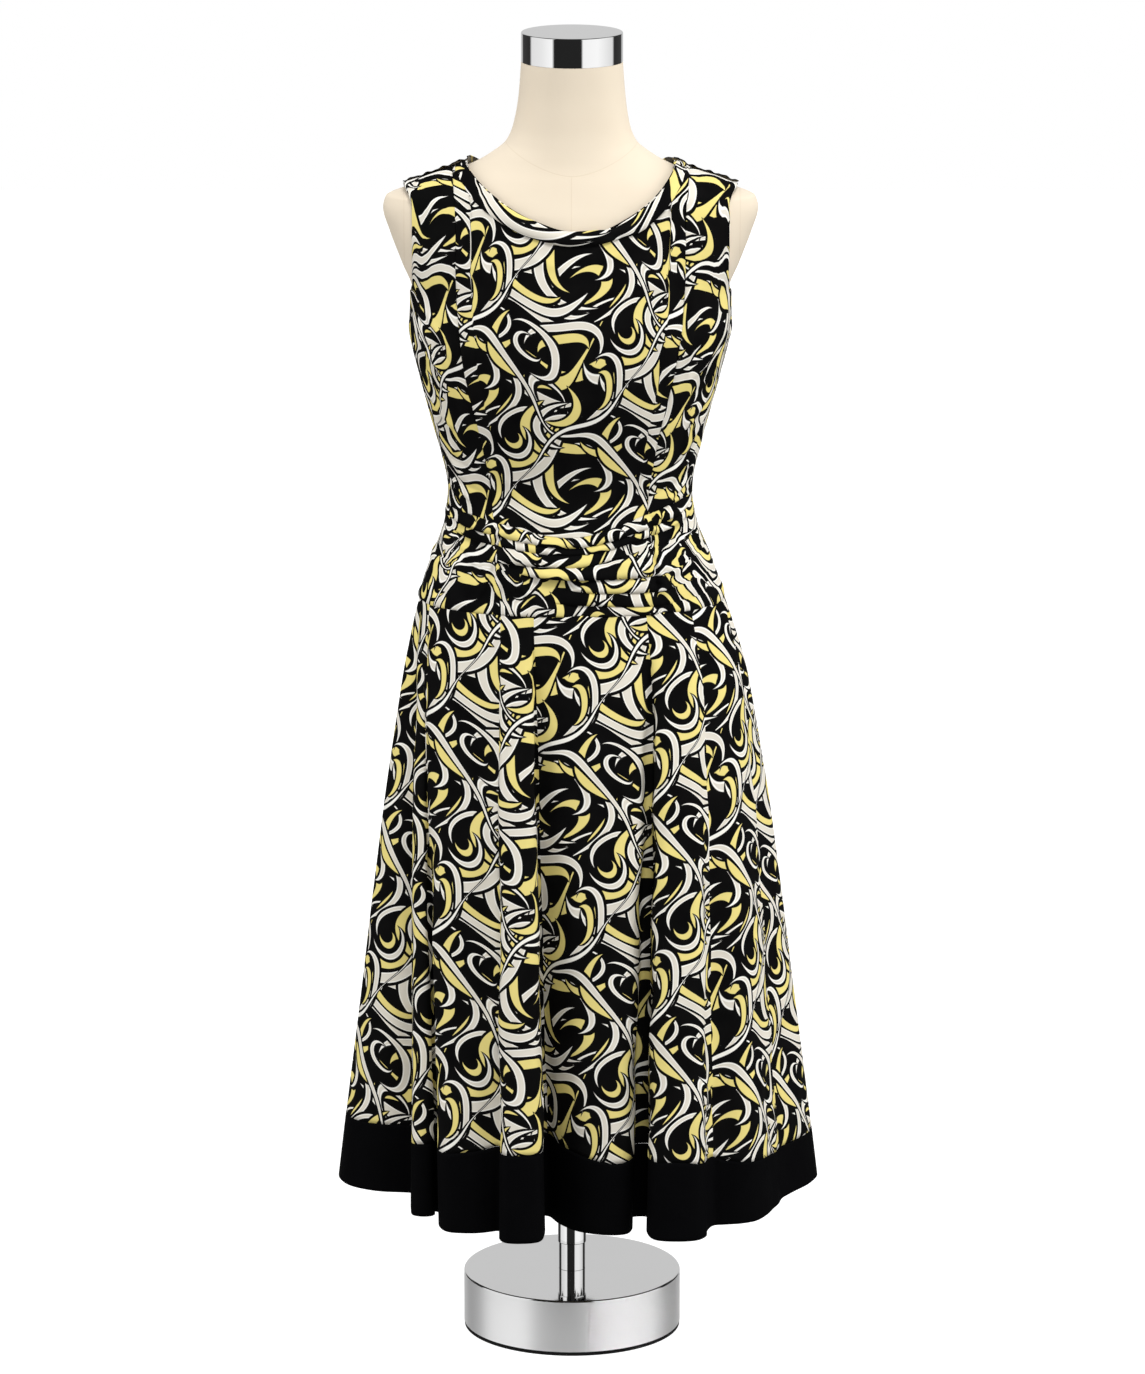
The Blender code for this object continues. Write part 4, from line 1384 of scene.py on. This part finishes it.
# Points where the cloth is drawn together, and the small tucks at them; the left ones end low down.
Gather = namedtuple("Gather", "place spread")
GATHER_LEFT = Gather(-0.098, 0.012)
GATHER_RIGHT = Gather(0.112, 0.011)
GATHER_TAKEN_IN = 0.010
GATHER_HALF = 0.007
GATHER_FLATTER = 0.60
TUCK_PITCH = 0.0125
TUCK_RISE = 0.0019
TUCK_SLANT = 0.35
LEFT_TUCKS_END = 1.085
LEFT_TUCKS_FADE = 0.02
MIDRIFF_DEEPEST = -0.0002
MIDRIFF_CREASES = table(
    CREASE,
    (-0.102, 1.078, -0.134, 1.002, 0.004, 0.0050, 0.0036),
    (-0.099, 1.070, -0.117, 1.000, 0.002, 0.0036, -0.0030),
    (-0.097, 1.080, -0.098, 1.000, 0.001, 0.0042, 0.0042),
    (-0.093, 1.066, -0.081, 1.001, -0.001, 0.0036, -0.0030),
    (-0.091, 1.070, -0.064, 1.004, -0.002, 0.0044, 0.0038),
    (-0.086, 1.058, -0.049, 1.002, -0.003, 0.0036, -0.0024),
    (-0.086, 1.062, -0.034, 1.008, -0.004, 0.0050, 0.0032),
    (-0.070, 1.058, -0.012, 1.014, -0.005, 0.0044, 0.0020),
    (-0.150, 1.104, -0.104, 1.078, 0.004, 0.0042, 0.0032),
    (-0.158, 1.094, -0.110, 1.060, 0.004, 0.0036, -0.0026),
    (-0.168, 1.086, -0.118, 1.046, 0.006, 0.0052, 0.0034),
    (-0.164, 1.060, -0.138, 1.014, 0.004, 0.0060, 0.0022),
    (0.158, 1.112, 0.114, 1.092, -0.003, 0.0036, 0.0032),
    (0.162, 1.102, 0.116, 1.078, -0.004, 0.0034, -0.0028),
    (0.166, 1.094, 0.116, 1.064, -0.005, 0.0044, 0.0038),
    (0.158, 1.074, 0.120, 1.048, -0.003, 0.0036, -0.0024),
    (0.178, 1.066, 0.118, 1.032, -0.005, 0.0054, 0.0034),
    (0.117, 1.056, 0.134, 1.004, -0.002, 0.0040, 0.0026),
    (0.106, 1.092, 0.110, 1.020, 0.004, 0.0032, -0.0032),
    (0.116, 1.090, 0.120, 1.024, -0.003, 0.0036, 0.0030),
    (-0.060, 1.094, 0.030, 1.082, -0.006, 0.0026, -0.0018),
    (0.016, 1.062, 0.098, 1.074, -0.006, 0.0034, 0.0028),
    (-0.040, 1.050, 0.050, 1.060, -0.006, 0.0040, 0.0018),
)


def ruche_height(ruche, share):
    return smooth(table("share height", *zip(RUCHE_SHARES, ruche)), "share", "height", share)


def ruche_reach(ruche, share):
    """One along the fold, fading to nothing past its two ends."""
    inside = np.minimum(share - ruche.starts, ruche.ends - share) / FOLD_FADE + 0.5
    inside = np.clip(inside, 0, 1)
    return inside**2 * (3 - 2 * inside)


def make_midriff():
    """Each fold swells slowly and turns back sharply under its lower edge."""
    columns = 225
    share = np.sin(np.radians(np.linspace(-90, 90, columns)))
    edges = [waist_height(share)] + [ruche_height(ruche, share) for ruche in RUCHES]
    heights, drops, lifts, hidden, behind = [], [], [], [], np.zeros(columns)
    for ruche, upper, lower in zip(RUCHES, edges, edges[1:]):
        reach = ruche_reach(ruche, share)
        for step in range(FOLD_STEPS):
            t = 1 - (1 - step / FOLD_STEPS) ** 1.7
            swell = math.sin(math.pi / 2 * min(t / FULLEST, 1.0)) ** 0.8
            swell = swell * min(1.0, (1 - t) / TURNED_BACK) ** 0.5
            heights.append(mix(upper, lower, t))
            lifts.append(ruche.proud * reach * swell)
            drops.append(-SAG * reach * bell(t - SAG_AT, SAG_SPREAD))
            hidden.append(behind)
        behind = behind - ruche.hidden * reach
    heights.append(edges[-1])
    lifts.append(np.zeros(columns))
    drops.append(np.zeros(columns))
    height, lift, drop = np.stack(heights)[::-1], np.stack(lifts)[::-1], np.stack(drops)[::-1]
    base = bodice_point(share[None, :] * side_reach(height), height, FRONT)
    off = outward(base)
    across = cut_places(base, columns // 2)[..., 0]
    near_left, near_right = [
        bell(across - gather.place, gather.spread) for gather in (GATHER_LEFT, GATHER_RIGHT)
    ]
    lift = lift * (1 - GATHER_FLATTER * (near_left + near_right))
    tuck = 2 * np.pi * (height + TUCK_SLANT * np.abs(across)) / TUCK_PITCH
    tuck = np.sin(tuck + 2 * np.sin(90 * height))
    low = share_of(LEFT_TUCKS_END - height, LEFT_TUCKS_FADE)
    lift = lift + TUCK_RISE * (near_left * (1 - low) + near_right) * tuck
    lift = lift + creased(across, height, MIDRIFF_CREASES)
    lift = lift + ripples(across, height * 2.2, seed=23, amount=0.0022, size=0.05)
    points = base + off * (CLOTH_OFF + np.maximum(lift, MIDRIFF_DEEPEST))[..., None]
    points[..., 2] += drop
    flat = cut_places(points, columns // 2, shift=(0.045, 0.08))
    for gather in (GATHER_LEFT, GATHER_RIGHT):
        flat[..., 0] += GATHER_TAKEN_IN * np.tanh((across - gather.place) / GATHER_HALF)
    flat = corners_of(flat[:, :-1], flat[:, 1:])
    turned_up = np.stack(hidden)[::-1]
    near, far = turned_up[:, :-1], turned_up[:, 1:]
    flat[..., 1] += np.stack([near, far, far, near], axis=2)
    piece = cloth_piece("midriff_gathers", points, flat)
    worn(piece, "printed_jersey", "midriff")


make_midriff()

# ------------------
# Skirt: flared printed jersey hanging from the hip seam in deep soft folds, two of them boxy and
# standing forward at the front. A band of plain black jersey is sewn round the hem.

HEM = 0.207
BAND_OFF = 0.0004
SEAM_CLOSE = 0.0002
SKIRT_ROWS = 118
BAND_ROWS = 22
LEVELS = 90
# Folds in ring order: hip angles from the front centre, the crest's place at the hem, the way it
# faces, and how wide and deep the fold falls before and after its crest.
FOLDS = table(
    "name hip_from hip_to x y facing before fall_before after fall_after",
    ("left_side", -100, -80, -0.311, 0.000, -90, 0.085, 0.060, 0.085, 0.100),
    ("front_1", -79, -70, -0.1985, -0.186, 0, 0.013, 0.095, 0.016, 0.022),
    ("front_2", -68, -27.5, -0.130, -0.257, 0, 0.043, 0.087, 0.031, 0.010),
    ("front_boxy_left", -26.5, -14.5, -0.065, -0.301, 0, 0.0285, 0.052, 0.027, 0.119),
    ("front_3", -13.5, 26.5, 0.047, -0.265, 0, 0.077, 0.080, 0.029, 0.076),
    ("front_boxy_right", 27.8, 48.5, 0.136, -0.292, 0, 0.038, 0.105, 0.038, 0.048),
    ("front_4", 50, 79, 0.238, -0.205, 50, 0.050, 0.030, 0.075, 0.022),
    ("right_side", 81, 99, 0.325, 0.000, 90, 0.108, 0.050, 0.082, 0.055),
    ("back_1", 101, 128, 0.247, 0.170, 126, 0.044, 0.026, 0.042, 0.030),
    ("back_2", 130, 156, 0.138, 0.246, 154, 0.046, 0.036, 0.042, 0.042),
    ("back_3", 158, 201, 0.002, 0.262, 180, 0.044, 0.046, 0.038, 0.040),
    ("back_4", 203, 229, -0.124, 0.244, 205, 0.042, 0.030, 0.046, 0.038),
    ("back_5", 231, 259, -0.236, 0.178, 232, 0.042, 0.032, 0.040, 0.028),
)
# Each fold has a crest line with a brow, an edge and a foot on both sides of it.
CREST = 3
LINES_IN_FOLD = 7
SPAN_STEPS = 6
HIP_SPREAD = 0.82
# Brow and edge of a fold, as shares of its half width and of its fall, if it is soft and if it is
# boxy. Folds grow boxy with their fall over their half width.
FOLD_SHAPES = table(
    "soft_out soft_in boxy_out boxy_in",
    (0.40, 0.24, 0.72, 0.06),
    (0.75, 0.70, 1.00, 0.36),
)
BOXY_FROM = 0.9
BOXY_OVER = 0.5
# The skirt swells a little between the straight lines from the hip seam to the hem.
SWELL = table(
    "height factor",
    (0.207, 1.000),
    (0.330, 1.012),
    (0.450, 1.022),
    (0.610, 1.041),
    (0.770, 1.055),
    (0.890, 1.053),
    (0.950, 1.032),
    (1.000, 1.000),
)
# Depth of the band above the hem, by hip angle.
HEM_BAND = table(
    "angle depth",
    (-100, 0.084),
    (-45, 0.105),
    (-15, 0.112),
    (10, 0.092),
    (37, 0.100),
    (60, 0.080),
    (90, 0.066),
    (180, 0.086),
    (260, 0.084),
)


def fold_half(half, fall):
    """Brow, edge and foot beside a crest, as (sideways, inwards)."""
    boxy = min(max((fall / half - BOXY_FROM) / BOXY_OVER, 0.0), 1.0)
    made = []
    for row in FOLD_SHAPES:
        sideways = half * mix(row.soft_out, row.boxy_out, boxy)
        made.append((sideways, fall * mix(row.soft_in, row.boxy_in, boxy)))
    return [*made, (half, fall)]


def fold_lines():
    """Hip angles and hem points of the lines of the skirt, in ring order."""
    angles, hems = [], []
    for fold in FOLDS:
        turn = math.radians(fold.facing)
        out = np.array([math.sin(turn), -math.cos(turn)])
        along = np.array([math.cos(turn), math.sin(turn)])
        before = [(-s, d) for s, d in reversed(fold_half(fold.before, fold.fall_before))]
        after = fold_half(fold.after, fold.fall_after)
        middle = (fold.hip_from + fold.hip_to) / 2
        half_span = (fold.hip_to - fold.hip_from) / 2
        for place, (sideways, inwards) in enumerate([*before, (0.0, 0.0), *after]):
            reach = fold.before if place < CREST else fold.after
            at_foot = place in (0, 2 * CREST)
            share = math.copysign(1.0, sideways) if at_foot else HIP_SPREAD * sideways / reach
            angles.append(middle + half_span * share)
            hems.append(np.array([fold.x, fold.y]) + along * sideways - out * inwards)
    return np.array(angles), np.array(hems)


def line_points(angles, hems, height):
    """Plan points of the lines at heights, as (heights, lines, 2)."""
    level = np.full(angles.shape, HIP_SEAM)
    hip = ring_point(angles, level, cloth_section(level))[:, :2]
    drop = ((HIP_SEAM - height) / (HIP_SEAM - HEM))[:, None, None]
    swell = smooth(SWELL, "height", "factor", height)[:, None, None]
    return mix(hip[None], hems[None], drop) * swell


def rounded(control, inner_steps):
    """Smooth closed ring through control points (rows, points, 2), the same steps in each span."""
    ahead = np.roll(control, -1, axis=1)
    behind = np.roll(control, 1, axis=1)
    gap_ahead = np.sqrt(size_of(ahead - control) + 1e-9)
    gap_behind = np.roll(gap_ahead, 1, axis=1)
    slope = (ahead - control) / gap_ahead * gap_behind + (control - behind) / gap_behind * gap_ahead
    slope = slope / (gap_ahead + gap_behind)
    next_slope = np.roll(slope, -1, axis=1)
    made = []
    for step in range(inner_steps):
        start, leave, end, arrive = curve_weights(step / inner_steps)
        here = start * control + leave * gap_ahead * slope
        made.append(here + end * ahead + arrive * gap_ahead * next_slope)
    stacked = np.stack(made, axis=2)
    return stacked.reshape(control.shape[0], -1, 2)


def band_height(angle):
    angle = np.where(angle < HEM_BAND[0].angle, angle + 360, angle)
    return HEM + smooth(HEM_BAND, "angle", "depth", angle)


def hip_seam_height(angle):
    return np.full(angle.shape, HIP_SEAM)


def hem_height(angle):
    return np.full(angle.shape, HEM)


def skirt_grid(rows, lower, upper, first, last):
    """Points between two levels and two lines of the ring, the way out there, and their steps."""
    angles, hems = fold_lines()
    count = len(angles)
    fine = np.arange(count * SPAN_STEPS)
    wrapped = np.concatenate([angles, [angles[0] + 360]])
    fine_angle = np.interp(fine / SPAN_STEPS, np.arange(count + 1), wrapped)
    bottom, top = lower(fine_angle), upper(fine_angle)
    level = np.linspace(HEM, HIP_SEAM, LEVELS)
    rings = rounded(line_points(angles, hems, level), SPAN_STEPS)
    picked = np.arange(first * SPAN_STEPS - 1, last * SPAN_STEPS + 2) % len(fine)
    points = np.empty((rows, len(picked), 3))
    for column, k in enumerate(picked):
        height = mix(bottom[k], top[k], np.linspace(0, 1, rows))
        points[:, column, 0] = np.interp(height, level, rings[:, k, 0]) + lean(height)
        points[:, column, 1] = np.interp(height, level, rings[:, k, 1])
        points[:, column, 2] = height
    return points[:, 1:-1], outward(points)[:, 1:-1], picked[1:-1]


def closed_up(points):
    """The side edges moved out a little, so that a front and a back piece meet at the side seam."""
    for edge, inner in ((0, 1), (-1, -2)):
        way = points[:, edge] - points[:, inner]
        points[:, edge] += SEAM_CLOSE * way / size_of(way)
    return points


STRIP_SEED = 7
STRIP_JUMP = 0.3


def strip_places(points, first, picked):
    """Places on the cut cloth: a fold shows its own strip, measured from its crest, and the cloth
    between two strips is turned away behind the fold."""
    along, up = lengths(points, 1), lengths(points, 0)
    up = up - up[-1:]
    in_fold = LINES_IN_FOLD * SPAN_STEPS
    fold = picked // in_fold
    crest = (fold * in_fold + (CREST - first) * SPAN_STEPS) % (len(FOLDS) * in_fold)
    crest = np.where(crest > points.shape[1] - 1, 0, crest)
    strips = np.random.default_rng(STRIP_SEED).uniform(0, STRIP_JUMP, (len(FOLDS), 2))[fold]
    sides = []
    for part in (slice(None, -1), slice(1, None)):
        across = along[:, part] - along[:, crest[:-1]]
        sides.append(np.stack([across + strips[:-1, 0], up[:, part] + strips[:-1, 1]], -1))
    return corners_of(*sides)


# Ripples of the skirt are narrow and tall. They grow from the hip seam, so many times as fast as
# the skirt falls, and die away over a stretch at the side seams and, in part, at the hem.
RIPPLES_NARROWER = 1.4
RIPPLES_TALLER = 0.4
RIPPLES_GROW = 6
RIPPLES_FADE = 0.03
RIPPLES_HEM_FADE = 0.15
RIPPLES_AT_HEM = 0.3


def printed_skirt(side, first, last):
    points, off, picked = skirt_grid(SKIRT_ROWS, band_height, hip_seam_height, first, last)
    height = points[..., 2]
    fall = (HIP_SEAM - height) / (HIP_SEAM - HEM)
    along = lengths(points, 1)
    to_seam = np.minimum(along, along[:, -1:] - along)
    across, up = along * RIPPLES_NARROWER, height * RIPPLES_TALLER
    lift = ripples(across, up, seed=31 + first, amount=0.0035, size=0.11)
    lift = lift * np.clip(fall * RIPPLES_GROW, 0, 1)
    lift = lift * np.clip((height - HEM) / RIPPLES_HEM_FADE, RIPPLES_AT_HEM, 1)
    lift = lift * share_of(to_seam, RIPPLES_FADE)
    points = closed_up(points + off * (CLOTH_OFF + lift)[..., None])
    flat = strip_places(points, first, picked)
    piece = cloth_piece("skirt_" + side + "_folds", points, flat)
    worn(piece, "printed_jersey", "skirt_" + side)


def hem_band(side, first, last):
    points, off, picked = skirt_grid(BAND_ROWS, hem_height, band_height, first, last)
    points = closed_up(points + off * (CLOTH_OFF + BAND_OFF))
    flat = strip_places(points, first, picked)
    node = "hem_band_" + side
    piece = cloth_piece(node + "_black", points, flat, black_jersey, black_jersey)
    worn(piece, "black_jersey", node)


# Each half runs from the crest at one side to the crest at the other, by the count of lines.
ALL_LINES = len(FOLDS) * LINES_IN_FOLD
LEFT_CREST = CREST
RIGHT_CREST = [fold.name for fold in FOLDS].index("right_side") * LINES_IN_FOLD + CREST
HALVES = table(
    "side first last hem_width area",
    ("front", LEFT_CREST, RIGHT_CREST, 1.40, 0.68),
    ("back", RIGHT_CREST, ALL_LINES + LEFT_CREST, 1.00, 0.56),
)
for half in HALVES:
    printed_skirt(half.side, half.first, half.last)
    hem_band(half.side, half.first, half.last)

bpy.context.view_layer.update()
